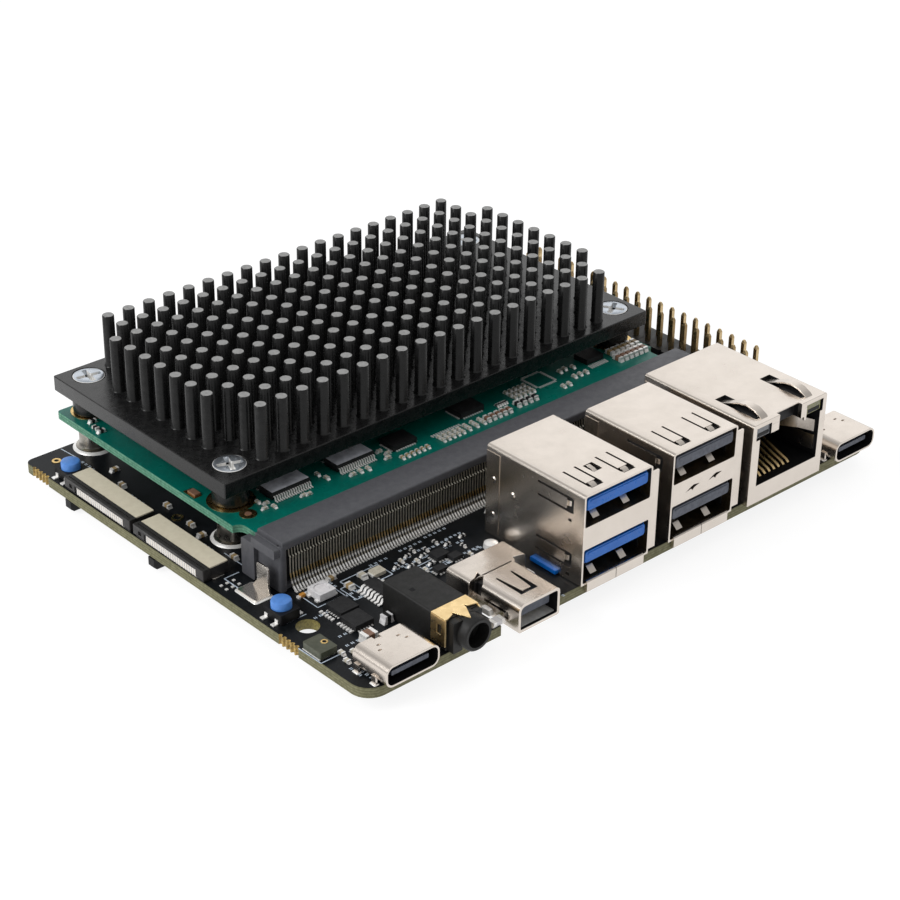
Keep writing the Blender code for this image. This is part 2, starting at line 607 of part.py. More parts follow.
def push_button(name, x, y):
    black = material("button_black_plastic", (0.02, 0.02, 0.022), 0.5)
    blue = material("button_blue_plastic", (0.1, 0.3, 0.75), 0.35)
    width, length, height = BUTTON_BODY
    top = ON_BOARD + height
    body = box(-width / 2, width / 2, -length / 2, length / 2, ON_BOARD, top)
    switch = add(f"button_switch_{name}", body, black, (x, y, 0))
    well = prism(circle(BUTTON_CAP_RADIUS + GAP, 12), top - 0.9, top + 1)
    boolean(switch, guide(f"button_well_cutter_{name}", well, (x, y, 0)))
    rest = top - 0.45
    cap = prism(circle(BUTTON_CAP_RADIUS, 12), 0, BUTTON_CAP_TOP - rest)
    add(f"button_cap_{name}", cap, blue, (x, y, rest), smooth=True)


def small_parts():
    """The parts near the front left corner, and the card socket under the board."""
    chip = material("chip_black", (0.03, 0.03, 0.033), 0.5)
    white = material("lamp_white", (0.8, 0.8, 0.8), 0.4)
    olive = material("microphone_olive", (0.1, 0.11, 0.06), 0.4)
    brown = material("capacitor_brown", (0.3, 0.16, 0.1), 0.5)
    for name, x, y, size, height, finish in (
        ("status_lamp", -39.5, -16.7, (2.8, 2.8), 1.1, white),
        ("power_chip_rear", -39.7, -21.3, (3.1, 3.2), 0.85, chip),
        ("power_chip_front", -40.2, -24.9, (3.1, 3.2), 0.85, chip),
        ("microphone", -47.8, -26.6, (3.1, 3.9), 1.0, olive),
        ("ceramic_capacitor", -41.6, -28.9, (2.0, 1.5), 1.2, brown),
    ):
        half_x, half_y = size[0] / 2, size[1] / 2
        add(name, box(x - half_x, x + half_x, y - half_y, y + half_y, ON_BOARD, ON_BOARD + height), finish)
    black = material("port_black_plastic", (0.015, 0.015, 0.016), 0.5)
    top = BOARD_BOTTOM - GAP
    socket = add("card_socket", box(-46.4, -39.0, 7.4, 29.4, 0, top), black)
    ears = bmesh.new()
    for low, high in ((7.4, 8.0), (28.8, 29.4)):
        put_box(ears, -49.8, -46.0, low, high, 0.45, top)
    boolean(socket, guide("card_socket_ears", ears), "UNION")
    mouth = box(-41.5, -38.0, 8.4, 28.4, 0.7, 1.6)
    boolean(socket, guide("card_socket_mouth_cutter", mouth))


def build():
    clear_scene()
    carrier_board()
    module_board()
    heat_sink()
    screws_and_spacers()
    edge_connector()
    module_parts()
    usb_stack("usb3", USB3, (0.02, 0.12, 0.55))
    usb_stack("usb2", USB2, (0.06, 0.07, 0.1))
    ethernet_port()
    for side in USB_C_PLACES:
        usb_c_port(side)
    display_port()
    audio_jack()
    pin_header()
    for name, middle in CABLE_SOCKET_Y.items():
        cable_socket(name, middle)
    for name, (x, y) in BUTTON_PLACES.items():
        push_button(name, x, y)
    small_parts()


build()
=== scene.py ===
"""Looks of the single board computer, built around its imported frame.

Lengths are in millimetres in the frame's own axes and become metres where a mesh is made. Shape collects the
faces of one piece, surface() makes one procedural material, and each sub-part has its own function.
"""

import math
import random

import bmesh
import bpy
from mathutils import Matrix, Vector


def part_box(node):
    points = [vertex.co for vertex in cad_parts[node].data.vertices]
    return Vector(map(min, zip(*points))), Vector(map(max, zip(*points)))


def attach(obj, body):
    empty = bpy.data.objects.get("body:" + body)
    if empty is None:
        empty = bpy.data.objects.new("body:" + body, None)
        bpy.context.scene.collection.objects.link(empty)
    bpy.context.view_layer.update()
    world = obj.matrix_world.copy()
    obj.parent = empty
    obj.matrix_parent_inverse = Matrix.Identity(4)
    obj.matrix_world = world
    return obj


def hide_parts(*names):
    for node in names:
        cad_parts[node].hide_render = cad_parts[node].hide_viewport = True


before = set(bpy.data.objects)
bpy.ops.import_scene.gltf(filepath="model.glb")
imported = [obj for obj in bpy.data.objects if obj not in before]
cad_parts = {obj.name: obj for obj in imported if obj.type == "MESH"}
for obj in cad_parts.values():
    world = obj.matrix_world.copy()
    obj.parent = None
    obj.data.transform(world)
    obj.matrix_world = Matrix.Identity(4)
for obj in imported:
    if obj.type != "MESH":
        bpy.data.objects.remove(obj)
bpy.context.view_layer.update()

MM = 0.001
SHEET = 0.3  # sheet metal of the port shields
LIFT = 0.1  # how far a soldered part stands above its board
SIDES = (-1, 1)
chance = random.Random(11)


def sides(node):
    """Left, right, front, back, bottom and top of a CAD node, in millimetres."""
    low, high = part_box(node)
    return tuple(value / MM for axis in range(3) for value in (low[axis], high[axis]))


def centre(node):
    left, right, front, back, *_ = sides(node)
    return (left + right) / 2, (front + back) / 2


BOARD_LEFT, BOARD_RIGHT, BOARD_FRONT, BOARD_BACK, BOARD_BOTTOM, BOARD_TOP = sides("carrier_board")
MODULE_LEFT, MODULE_RIGHT, MODULE_FRONT, MODULE_BACK, MODULE_BOTTOM, MODULE_TOP = sides("module_board")
SINK_LEFT, SINK_RIGHT, SINK_FRONT, SINK_BACK, _, PIN_TIP = sides("heat_sink")
SCREW_PLACES = [centre(f"heat_sink_screw_{i}") for i in (1, 2, 3, 4)]
SINK_TOP = sides("heat_sink_screw_1")[5]
SINK_BOTTOM = SINK_TOP - 2.4


# ---------------------------------------------------------------- materials


def node_tools(made):
    """Returns add(type, **inputs) and link(out, in) for a material's nodes."""
    tree = made.node_tree

    def add(kind, **inputs):
        node = tree.nodes.new(kind)
        for key, value in inputs.items():
            node.inputs[key.replace("_", " ")].default_value = value
        return node

    return add, tree.links.new


def ramp(add, link, source, low, high, start=0.35, end=0.65):
    """Remaps a 0 to 1 value to low..high, mostly between start and end."""
    node = add("ShaderNodeMapRange", From_Min=start, From_Max=end, To_Min=low, To_Max=high)
    link(source, node.inputs["Value"])
    return node.outputs["Result"]


def blend_colour(add, link, share, first, second):
    """Mixes two colours, or a socket's colour with a colour, by a share that is a socket."""
    node = add("ShaderNodeMix")
    node.data_type = "RGBA"
    link(share, node.inputs["Factor"])
    for index, colour in ((6, first), (7, second)):
        if isinstance(colour, tuple):
            node.inputs[index].default_value = (*colour, 1.0)
        else:
            link(colour, node.inputs[index])
    return node.outputs[2]


def surface(name, colour, second, rough, patch, bump=0.0, grain=0.2, metallic=0.0, specular=0.5, coat=0.0,
            spread=0.06, speckle=None):
    """Principled material whose colour, roughness and bump come from noise.

    The colour drifts to second in patches. patch and grain are feature sizes in millimetres, spread is how far
    the roughness wanders, and speckle is (colour, share) for small flecks.
    """
    made = bpy.data.materials.new(name)
    made.use_nodes = True
    add, link = node_tools(made)
    inputs = made.node_tree.nodes["Principled BSDF"].inputs
    inputs["Metallic"].default_value = metallic
    inputs["Coat Weight"].default_value = coat
    inputs["Coat Roughness"].default_value = 0.15
    inputs["Specular IOR Level"].default_value = specular
    scale = add("ShaderNodeMapping", Scale=(1 / MM,) * 3)
    link(add("ShaderNodeTexCoord").outputs["Object"], scale.inputs["Vector"])

    def noise(size, detail, **more):
        node = add("ShaderNodeTexNoise", Scale=1 / size, Detail=detail, **more)
        link(scale.outputs["Vector"], node.inputs["Vector"])
        return node.outputs["Fac"]

    cloud = noise(patch, 5.0, Roughness=0.6)
    painted = blend_colour(add, link, ramp(add, link, cloud, 0, 1), colour, second)
    if speckle:
        fleck_colour, share = speckle
        edge = 0.5 + 0.22 * (1 - share)
        amount = ramp(add, link, noise(0.12, 2.0), 0, 1, edge, edge + 0.04)
        painted = blend_colour(add, link, amount, painted, fleck_colour)
    link(painted, inputs["Base Color"])
    link(ramp(add, link, cloud, max(0.02, rough - spread), rough + spread, 0.3, 0.7), inputs["Roughness"])
    if bump:
        relief = add("ShaderNodeBump", Strength=bump, Distance=0.05 * MM)
        link(noise(grain, 6.0, Roughness=0.65), relief.inputs["Height"])
        link(relief.outputs["Normal"], inputs["Normal"])
    return made


def patterned(made, kind, option, output, limits, colour, **inputs):
    """Lays a pattern of another colour over a material. option is one property of the pattern's node."""
    add, link = node_tools(made)
    base = made.node_tree.nodes["Principled BSDF"].inputs["Base Color"]
    before = base.links[0].from_socket
    pattern = add(kind, Scale=1 / (MM * 1.3), **inputs)
    setattr(pattern, *option)
    link(add("ShaderNodeTexCoord").outputs["Object"], pattern.inputs["Vector"])
    share = ramp(add, link, pattern.outputs[output], *limits)
    link(blend_colour(add, link, share, before, colour), base)
    return made


def laminate_edge(name, colour, second):
    """Cut edge of a circuit board: thin glass-fibre layers, with a rough, dusty grain."""
    made = surface(name, colour, second, 0.75, 0.5, 0.5, 0.12, specular=0.3)
    dark = tuple(c * 0.62 for c in second)
    layers, limits = ("bands_direction", "Z"), (0, 0.55, 0.2, 0.9)
    return patterned(made, "ShaderNodeTexWave", layers, "Fac", limits, dark, Distortion=1.2, Detail=2.0)


def solder_mask(name, colour, pour, rough, trace, specular):
    """Solder mask over copper: soft islands of copper pour, and thin traces that show as a paler tone."""
    made = surface(name, colour, pour, rough, 3.5, 0.12, 0.3, specular=specular)
    cells = ("feature", "DISTANCE_TO_EDGE")
    return patterned(made, "ShaderNodeTexVoronoi", cells, "Distance", (0.8, 0, 0.0, 0.05), trace)


BLACK_MASK = solder_mask(
    "black_solder_mask", (0.004, 0.005, 0.006), (0.007, 0.008, 0.010), 0.36, (0.009, 0.011, 0.013), 0.12
)
GREEN_MASK = solder_mask(
    "green_solder_mask", (0.0, 0.13, 0.10), (0.0, 0.10, 0.078), 0.32, (0.0, 0.16, 0.12), 0.3
)
OLIVE_EDGE = laminate_edge("carrier_laminate", (0.21, 0.20, 0.115), (0.13, 0.125, 0.065))
GREEN_EDGE = laminate_edge("module_laminate", (0.15, 0.35, 0.24), (0.06, 0.18, 0.12))
# Name, colour, second colour, roughness, patch, bump and grain
TAB_GOLD = surface("break_tab_laminate", (0.50, 0.34, 0.09), (0.16, 0.11, 0.04), 0.6, 0.35, 0.9)
HOLE_WALL = surface("hole_laminate", (0.25, 0.21, 0.05), (0.11, 0.09, 0.02), 0.5, 0.4, 0.6)
ANODISED = surface("black_anodised", (0.004, 0.004, 0.0042), (0.007,) * 3, 0.27, 1.2, 0.1, specular=0.42)
# Grey for the flat ends of the pins: painted light on tops that face the lamps
PIN_END = surface("anodised_painted_top_light", (0.27, 0.27, 0.265), (0.20, 0.20, 0.197), 0.5, 0.5, 0.4, 0.1)
ZINC = surface("zinc_plate", (0.50, 0.54, 0.59), (0.44, 0.48, 0.53), 0.28, 0.8, metallic=0.9, spread=0.02)
SPACER = surface("spacer_steel", (0.40, 0.38, 0.34), (0.3, 0.28, 0.25), 0.3, 1.0, 0.1, metallic=1)
NICKEL = surface(
    "nickel_plate", (0.675, 0.613, 0.552), (0.645, 0.584, 0.523), 0.25, 3.0, 0.06, 0.5, metallic=1, spread=0.03
)
# Darker, browner copy of the nickel for faces inside mouths and slots: painted shade
NICKEL_PAINTED_SHADE = surface("nickel_painted_shade", (0.30, 0.235, 0.15), (0.16, 0.12, 0.07), 0.35, 1.5, 0.2, metallic=1)
TIN = surface("tin_plate", (0.82, 0.77, 0.71), (0.7, 0.65, 0.59), 0.24, 1.0, 0.03, 0.5, metallic=1)
# Bright solder; it is also laid on the rims and recesses of the screw heads as a painted highlight
SOLDER_AND_PAINTED_HIGHLIGHT = surface("solder", (0.93, 0.92, 0.90), (0.82, 0.81, 0.79), 0.36, 0.4, 0.4, metallic=0.4)
GOLD = surface("gold_plate", (0.78, 0.56, 0.24), (0.5, 0.33, 0.12), 0.28, 0.5, 0.2, metallic=1)
PIN_GOLD = surface("header_gold", (0.60, 0.46, 0.26), (0.42, 0.30, 0.15), 0.3, 0.8, 0.2, metallic=1)
BRASS = surface("bright_brass", (0.90, 0.68, 0.36), (0.82, 0.6, 0.3), 0.3, 1.0, 0.15, metallic=1)
CONTACT = surface("contact_alloy", (0.56, 0.53, 0.45), (0.4, 0.38, 0.32), 0.45, 0.6, metallic=0.8)
CONTACT_GOLD = surface("contact_gold", (0.78, 0.60, 0.32), (0.3, 0.21, 0.08), 0.4, 0.6, metallic=1)
SLOT_GREY = surface(
    "connector_plastic", (0.072, 0.073, 0.082), (0.058, 0.059, 0.067), 0.5, 1.0, 0.55, 0.12,
    speckle=((0.13, 0.13, 0.14), 0.12),
)
# Near-black of the black plastic and of the painted shade in recesses and holes, with its darker patches
RECESS_BLACK, RECESS_SHADE = (0.006, 0.006, 0.007), (0.0045, 0.0045, 0.00525)
# Near-black for recesses and holes: painted shade
RECESS_PAINTED_SHADE = surface("recess_painted_shade", RECESS_BLACK, RECESS_SHADE, 0.55, 1.0, 0.3, specular=0.15)
# Black plastic of the ports; it is also laid on faces inside shells and behind slits as painted shade
PORT_BLACK_AND_PAINTED_SHADE = surface("port_plastic_and_painted_shade", RECESS_BLACK, RECESS_SHADE, 0.5, 1.0, 0.3, specular=0.22)
JACK_BLACK = surface(
    "jack_nylon", (0.011, 0.0105, 0.010), (0.008, 0.008, 0.0075), 0.48, 1.0, 0.45, 0.1, specular=0.3
)
CHIP = surface(
    "moulding_compound", (0.015, 0.015, 0.016), (0.010, 0.010, 0.011), 0.5, 0.6, 0.5, 0.08, specular=0.28
)
# Pale copy of the moulding compound: a painted sheen for the lit tops of the leaded chips
CHIP_PAINTED_SHEEN = surface("moulding_compound_painted_sheen", (0.72, 0.74, 0.80), (0.4, 0.41, 0.46), 0.35, 2.2, 0.4, 0.08)
CREAM = surface("cream_plastic", (0.62, 0.565, 0.44), (0.57, 0.515, 0.395), 0.5, 1.0, 0.25, 0.15)
LATCH = surface(
    "latch_plastic", (0.022, 0.020, 0.0195), (0.015, 0.014, 0.0135), 0.42, 0.8, 0.4, 0.12, specular=0.3
)
SHELF_GREY = surface("contact_shelf", (0.62, 0.62, 0.61), (0.48, 0.48, 0.47), 0.5, 0.8, 0.3)
BLUE = surface("usb_blue", (0.004, 0.125, 0.50), (0.003, 0.105, 0.43), 0.3, 1.5, 0.15, specular=0.35)
SLATE = surface("usb_slate", (0.075, 0.085, 0.115), (0.045, 0.052, 0.072), 0.45, 0.5, 0.6, 0.15)
CAP_BLUE = surface("button_blue", (0.075, 0.235, 0.62), (0.06, 0.19, 0.53), 0.4, 0.8, 0.25)
WHITE = surface("white_ceramic", (0.74, 0.73, 0.74), (0.6, 0.59, 0.6), 0.35, 0.6, 0.2)
LENS = surface("lamp_lens", (0.80, 0.78, 0.79), (0.7, 0.68, 0.69), 0.2, 0.6, coat=0.5)
SILK = surface("silkscreen_white", (0.62, 0.70, 0.80), (0.36, 0.43, 0.51), 0.6, 0.35, 0.2)
MIC_OLIVE = surface("microphone_lid", (0.062, 0.066, 0.04), (0.045, 0.05, 0.03), 0.4, 0.8, 0.2)
CAP_BROWN = surface("capacitor_brown", (0.24, 0.13, 0.085), (0.17, 0.09, 0.055), 0.45, 0.4, 0.3)
CAP_TAN = surface("capacitor_tan", (0.42, 0.30, 0.15), (0.30, 0.21, 0.10), 0.45, 0.4, 0.3)
CAP_CREAM = surface("capacitor_cream", (0.58, 0.54, 0.44), (0.45, 0.41, 0.33), 0.45, 0.4, 0.3)
AMBER = surface("amber_lens", (0.60, 0.27, 0.05), (0.4, 0.18, 0.03), 0.3, 0.3)
PIPE_GREY = surface("light_pipe_grey", (0.13, 0.135, 0.15), (0.08, 0.085, 0.1), 0.18, 0.7, coat=0.6)
PIPE_OLIVE = surface("light_pipe_olive", (0.20, 0.19, 0.045), (0.1, 0.095, 0.03), 0.18, 0.7, coat=0.6)
PAD_GREY = surface("gap_filler", (0.34, 0.35, 0.37), (0.255, 0.2625, 0.2775), 0.8, 1.0, 0.3)
HEADER_BLACK = surface("header_plastic", (0.012, 0.012, 0.013), (0.009, 0.009, 0.00975), 0.5, 1.0, 0.35)


# ---------------------------------------------------------------- mesh tools


def circle(radius, count, middle=(0.0, 0.0)):
    steps = [2 * math.pi * (i + 0.5) / count for i in range(count)]
    return [(middle[0] + radius * math.cos(a), middle[1] + radius * math.sin(a)) for a in steps]


def rounded(left, right, low, high, radius, steps=5):
    """Rectangle with rounded corners. radius is one value, or four from the upper right, turning left."""
    left, right = sorted((left, right))
    radii = radius if isinstance(radius, tuple) else (radius,) * 4
    upper = ((right, high, -1, -1, 0), (left, high, 1, -1, 90))
    lower = ((left, low, 1, 1, 180), (right, low, -1, 1, 270))
    points = []
    for (x, y, inward_x, inward_y, start), r in zip(upper + lower, radii):
        if r == 0:
            points.append((x, y))
            continue
        for i in range(steps + 1):
            a = math.radians(start + 90 * i / steps)
            points.append((x + inward_x * r + r * math.cos(a), y + inward_y * r + r * math.sin(a)))
    return points


def strip(path, thick):
    """Closed outline of sheet metal of a thickness that follows an open path of 2-D points."""
    ahead, behind = [], []
    for i, point in enumerate(path):
        before, after = path[max(i - 1, 0)], path[min(i + 1, len(path) - 1)]
        along = Vector((after[0] - before[0], after[1] - before[1])).normalized()
        side = Vector((-along.y, along.x)) * thick / 2
        ahead.append((point[0] + side.x, point[1] + side.y))
        behind.append((point[0] - side.x, point[1] - side.y))
    return ahead + behind[::-1]


class Shape:
    """The faces of one piece, in millimetres. New faces take the material named last."""

    def __init__(self, finish):
        self.mesh = bmesh.new()
        self.finishes = [finish]
        self.slot = 0

    def use(self, finish):
        if finish not in self.finishes:
            self.finishes.append(finish)
        self.slot = self.finishes.index(finish)
        return self

    def fill(self, faces):
        for face in faces:
            face.material_index = self.slot
        return self

    def box(self, left, right, front, back, bottom, top):
        middle = Vector(((left + right) / 2, (front + back) / 2, (bottom + top) / 2))
        size = Matrix.Diagonal((abs(right - left), abs(back - front), top - bottom, 1))
        made = bmesh.ops.create_cube(self.mesh, size=1.0, matrix=Matrix.Translation(middle) @ size)
        return self.fill({face for vert in made["verts"] for face in vert.link_faces})

    def pad(self, x, y, half_x, half_y, bottom, top):
        """A box by its middle and its half widths."""
        return self.box(x - half_x, x + half_x, y - half_y, y + half_y, bottom, top)

    def prism(self, outline, low, high, axis="Z", shrink=0.0):
        """Extrudes an outline. shrink pulls the high end in towards the outline's middle, as a share."""
        middle = Vector((sum(p[0] for p in outline), sum(p[1] for p in outline))) / len(outline)
        low, high = sorted((low, high))
        rings = []
        for level, share in ((low, 1.0), (high, 1.0 - shrink)):
            ring = []
            for point in outline:
                a, b = middle + (Vector(point) - middle) * share
                place = {"X": (level, a, b), "Y": (a, level, b), "Z": (a, b, level)}[axis]
                ring.append(self.mesh.verts.new(place))
            rings.append(ring)
        faces = [self.mesh.faces.new(ring) for ring in rings]
        for i, first in enumerate(rings[0]):
            j = (i + 1) % len(outline)
            faces.append(self.mesh.faces.new((first, rings[0][j], rings[1][j], rings[1][i])))
        bmesh.ops.recalc_face_normals(self.mesh, faces=faces)
        return self.fill(faces)

    def leaf(self, path, thick, low, high, axis="X"):
        """A bent leaf of sheet metal, from an open path."""
        return self.prism(strip(path, thick), low, high, axis)

    def turned(self, profile, count, middle=(0.0, 0.0), axis="Z"):
        """Turns (radius, level) pairs about an axis. A radius of 0 closes the shape."""
        place = {
            "X": lambda p, level: (level, *p),
            "Y": lambda p, level: (p[0], level, p[1]),
            "Z": lambda p, level: (*p, level),
        }
        rings = []
        for radius, level in profile:
            points = circle(radius, count, middle) if radius else [middle]
            rings.append([self.mesh.verts.new(place[axis](point, level)) for point in points])
        faces = []
        for lower, upper in zip(rings, rings[1:]):
            for i in range(count):
                j = (i + 1) % count
                if len(lower) == 1:
                    corners = (lower[0], upper[j], upper[i])
                elif len(upper) == 1:
                    corners = (lower[i], lower[j], upper[0])
                else:
                    corners = (lower[i], lower[j], upper[j], upper[i])
                faces.append(self.mesh.faces.new(corners))
        bmesh.ops.recalc_face_normals(self.mesh, faces=faces)
        return self.fill(faces)

    def disc(self, radius, low, high, count, middle, axis="Z"):
        return self.turned([(0, low), (radius, low), (radius, high), (0, high)], count, middle, axis)

    def ring(self, inner, outer, low, high, count, middle):
        profile = [(inner, low), (outer, low), (outer, high), (inner, high), (inner, low)]
        return self.turned(profile, count, middle)

    def paint(self, choose):
        """Gives each face the material that choose(middle, normal) returns, or leaves it where that is None."""
        self.mesh.normal_update()
        for face in self.mesh.faces:
            finish = choose(face.calc_center_median(), face.normal)
            if finish:
                self.use(finish).fill([face])
        return self

    def cut(self, tool):
        """Takes another shape out of this one."""
        solids = []
        for shape in (self, tool):
            data = bpy.data.meshes.new("cutting")
            bmesh.ops.recalc_face_normals(shape.mesh, faces=shape.mesh.faces)
            shape.mesh.to_mesh(data)
            shape.mesh.free()
            for finish in self.finishes:
                data.materials.append(finish)
            solids.append(bpy.data.objects.new("cutting", data))
            bpy.context.scene.collection.objects.link(solids[-1])
        change = solids[0].modifiers.new("cut", "BOOLEAN")
        change.operation = "DIFFERENCE"
        change.solver = "EXACT"
        change.use_self = True
        change.object = solids[1]
        result = bpy.data.meshes.new_from_object(solids[0].evaluated_get(bpy.context.evaluated_depsgraph_get()))
        self.mesh = bmesh.new()
        self.mesh.from_mesh(result)
        for solid in solids:
            bpy.data.objects.remove(solid)
        return self

    def cut_box(self, *limits):
        return self.cut(Shape(None).box(*limits))

    def cut_prism(self, *extrusion, **more):
        return self.cut(Shape(None).prism(*extrusion, **more))

    def finish(self, name, replaces=(), body="board", bevel=0.0, smooth=35.0, slot=None):
        """Makes the piece, rides it on a CAD body and hides the CAD nodes that it stands for."""
        bmesh.ops.scale(self.mesh, vec=(MM, MM, MM), verts=self.mesh.verts)
        data = bpy.data.meshes.new(name)
        self.mesh.to_mesh(data)
        self.mesh.free()
        for finish in self.finishes:
            data.materials.append(finish)
        piece = bpy.data.objects.new(name, data)
        bpy.context.scene.collection.objects.link(piece)
        data.shade_smooth()
        data.set_sharp_from_angle(angle=math.radians(smooth))
        if bevel:
            rim = piece.modifiers.new("edge", "BEVEL")
            rim.width = bevel * MM
            rim.segments = 2
            rim.limit_method = "ANGLE"
            rim.angle_limit = math.radians(50)
            rim.harden_normals = True
        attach(piece, body)
        if replaces:
            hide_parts(*replaces)
        return piece


# ---------------------------------------------------------------- boards


BOARD_CORNER, BACK_LEFT_CORNER = 3.0, 1.2
BOARD_LEAN = 0.6  # the left edge leans in by this much at the front
MOUNT_HOLES = [(-45.5, -21.2), (45.5, -21.2)]
MOUNT_HOLE_RADIUS = 1.6
SPACER_BORE = 1.4
TAB_PLACES = [(-1, 35.4), (-1, -22.2), (1, 34.0), (1, -29.0)]
TAB_BITES, TAB_PITCH, TAB_DEPTH = 5, 0.85, 0.35
DISPLAY_NOTCH = (-26.35, -16.35, -30.4)  # left, right and back of the notch under the display port
MODULE_STEP, MODULE_NOTCH = -4.1, 1.3  # where the module narrows towards its connector, and by how much
PAD_THICK = 0.05


def tab_bites(side):
    """The bites along each break-off tab of one side: front to back on the right, back to front on the left."""
    points = []
    for middle in sorted((y for edge, y in TAB_PLACES if edge == side), reverse=side < 0):
        for i in range(TAB_BITES):
            y = middle + side * (i - (TAB_BITES - 1) / 2) * TAB_PITCH
            for a in (math.radians(step) for step in (-90, -45, 0, 45, 90)):
                x = side * (BOARD_RIGHT - TAB_DEPTH * math.cos(a))
                points.append((x, y + side * TAB_PITCH * 0.36 * math.sin(a)))
    return points


def carrier_outline():
    left, right, notch_back = DISPLAY_NOTCH
    radii = (BOARD_CORNER, BACK_LEFT_CORNER, BOARD_CORNER, BOARD_CORNER)
    arcs = rounded(BOARD_LEFT, BOARD_RIGHT, BOARD_FRONT, BOARD_BACK, radii, 8)
    count = len(arcs) // 4
    back_right, back_left, front_left, front_right = (arcs[i * count : (i + 1) * count] for i in range(4))
    depth = BOARD_BACK - BOARD_FRONT
    left_edge = back_left + tab_bites(-1) + front_left
    leaning = [(x + BOARD_LEAN * (BOARD_BACK - y) / depth, y) for x, y in left_edge]
    notch = [(left, BOARD_FRONT), (left, notch_back), (right, notch_back), (right, BOARD_FRONT)]
    return back_right + leaning + notch + front_right + tab_bites(1)


def drilled(outline, finish, bottom, top, places, radius, count):
    """A board of an outline, with round holes."""
    holes = Shape(finish)
    for place in places:
        holes.prism(circle(radius, count, place), bottom - 1, top + 1)
    return Shape(finish).prism(outline, bottom, top).cut(holes)


def carrier_board():
    board = drilled(carrier_outline(), BLACK_MASK, BOARD_BOTTOM, BOARD_TOP, MOUNT_HOLES, MOUNT_HOLE_RADIUS, 48)

    def choose(middle, normal):
        if abs(normal.z) > 0.5:
            return None
        if any((middle.xy - Vector(place)).length < MOUNT_HOLE_RADIUS + 0.1 for place in MOUNT_HOLES):
            return HOLE_WALL
        for side, y in TAB_PLACES:
            if side * middle.x > BOARD_RIGHT - 1.5 and abs(middle.y - y) < TAB_BITES * TAB_PITCH / 2 + 0.1:
                return TAB_GOLD
        return OLIVE_EDGE

    board.paint(choose)
    board.finish("carrier_board_detailed", ["carrier_board"], bevel=0.06, slot="black_solder_mask")


def module_board():
    def ear(side):
        edge = MODULE_RIGHT if side > 0 else MODULE_LEFT
        notch = MODULE_NOTCH
        arc = [math.radians(a) for a in (0, 22.5, 45, 67.5, 90)]
        return [(edge - side * notch * math.sin(a), MODULE_STEP + notch * math.cos(a)) for a in arc]

    outline = rounded(MODULE_LEFT, MODULE_RIGHT, MODULE_STEP, MODULE_BACK, (0.5, 0.5, 0, 0), 4)[:10] + ear(-1)
    outline += [(MODULE_LEFT + MODULE_NOTCH, MODULE_FRONT), (MODULE_RIGHT - MODULE_NOTCH, MODULE_FRONT)]
    outline += ear(1)[::-1]
    board = drilled(outline, GREEN_MASK, MODULE_BOTTOM, MODULE_TOP, SCREW_PLACES, SPACER_BORE, 24)
    board.paint(lambda middle, normal: GREEN_EDGE if abs(normal.z) < 0.5 else None)
    board.finish("module_board_detailed", ["module_board"], bevel=0.06, slot="green_solder_mask")


def module_pads():
    pads = Shape(GOLD)
    for place in SCREW_PLACES:
        radius = min(3.45, MODULE_BACK - place[1] - PAD_THICK)
        for level in (MODULE_TOP, MODULE_BOTTOM - PAD_THICK):
            pads.ring(1.5, radius, level, level + PAD_THICK, 40, place)
    level = MODULE_TOP + PAD_THICK
    for place in ((-40.1, -1.7), (34.9, -1.7)):
        pads.use(GOLD).disc(1.25, MODULE_TOP, level, 32, place)
        pads.use(CAP_BROWN).disc(0.5, level, level + 0.04, 24, place)
    pads.finish("module_pads")


# ---------------------------------------------------------------- small parts


PRINT_THICK = 0.02


def silk(shape, x0, y0, x1, y1, width=0.16):
    """A line printed on the carrier board between two points, as a thin raised strip."""
    along = Vector((x1 - x0, y1 - y0))
    side = Vector((-along.y, along.x)).normalized() * width / 2
    ends = ((x0, y0, -1), (x1, y1, -1), (x1, y1, 1), (x0, y0, 1))
    outline = [(x + way * side.x, y + way * side.y) for x, y, way in ends]
    shape.prism(outline, BOARD_TOP, BOARD_TOP + PRINT_THICK)


def silk_frame(shape, x, y, size_x, size_y):
    left, right, front, back = x - size_x / 2, x + size_x / 2, y - size_y / 2, y + size_y / 2
    corners = [(left, front), (right, front), (right, back), (left, back)]
    for start, end in zip(corners, corners[1:] + corners[:1]):
        silk(shape, *start, *end, 0.14)


def passive(shape, x, y, size, level, turn=0, body=CAP_BROWN, ends=SOLDER_AND_PAINTED_HIGHLIGHT):
    """A two-terminal chip part: a body between two plated ends that stand on solder."""
    length, width, height = size
    along, across = (y, x) if turn else (x, y)
    half, half_width, end = length / 2, width / 2, 0.26 * length

    def block(start, stop, grow, bottom, top):
        lengthways = along + start, along + stop
        sideways = across - half_width - grow, across + half_width + grow
        shape.box(*((*sideways, *lengthways) if turn else (*lengthways, *sideways)), bottom, top)

    shape.use(body)
    block(end - half, half - end, 0, level + 0.03, level + height)
    shape.use(ends)
    for side in SIDES:
        block(side * half, side * (half - end), 0.01, level, level + height + 0.01)
        face = along + side * half
        fillet = [(face, level), (along + side * (half + 0.22), level), (face, level + height * 0.6)]
        shape.prism(fillet, across - half_width, across + half_width, "X" if turn else "Y")


def passive_row(shape, y, first, last, count, size, level, body):
    for i in range(count):
        passive(shape, first + (last - first) * (i / (count - 1)), y, size, level, 1, body)


def flat_chip(shape, x, y, size_x, size_y, height, level, pads=0):
    """A chip with its pads showing as a row of bright dots along each side."""
    shape.use(CHIP).pad(x, y, size_x / 2, size_y / 2, level + 0.04, level + height)
    shape.use(SOLDER_AND_PAINTED_HIGHLIGHT)
    for i in range(pads):
        share = (i + 0.5) / pads - 0.5
        for side in SIDES:
            shape.pad(x + side * (size_x / 2 + 0.1), y + share * size_y * 0.86, 0.16, 0.12, level, level + 0.14)
            shape.pad(x + share * size_x * 0.86, y + side * (size_y / 2 + 0.1), 0.12, 0.16, level, level + 0.14)


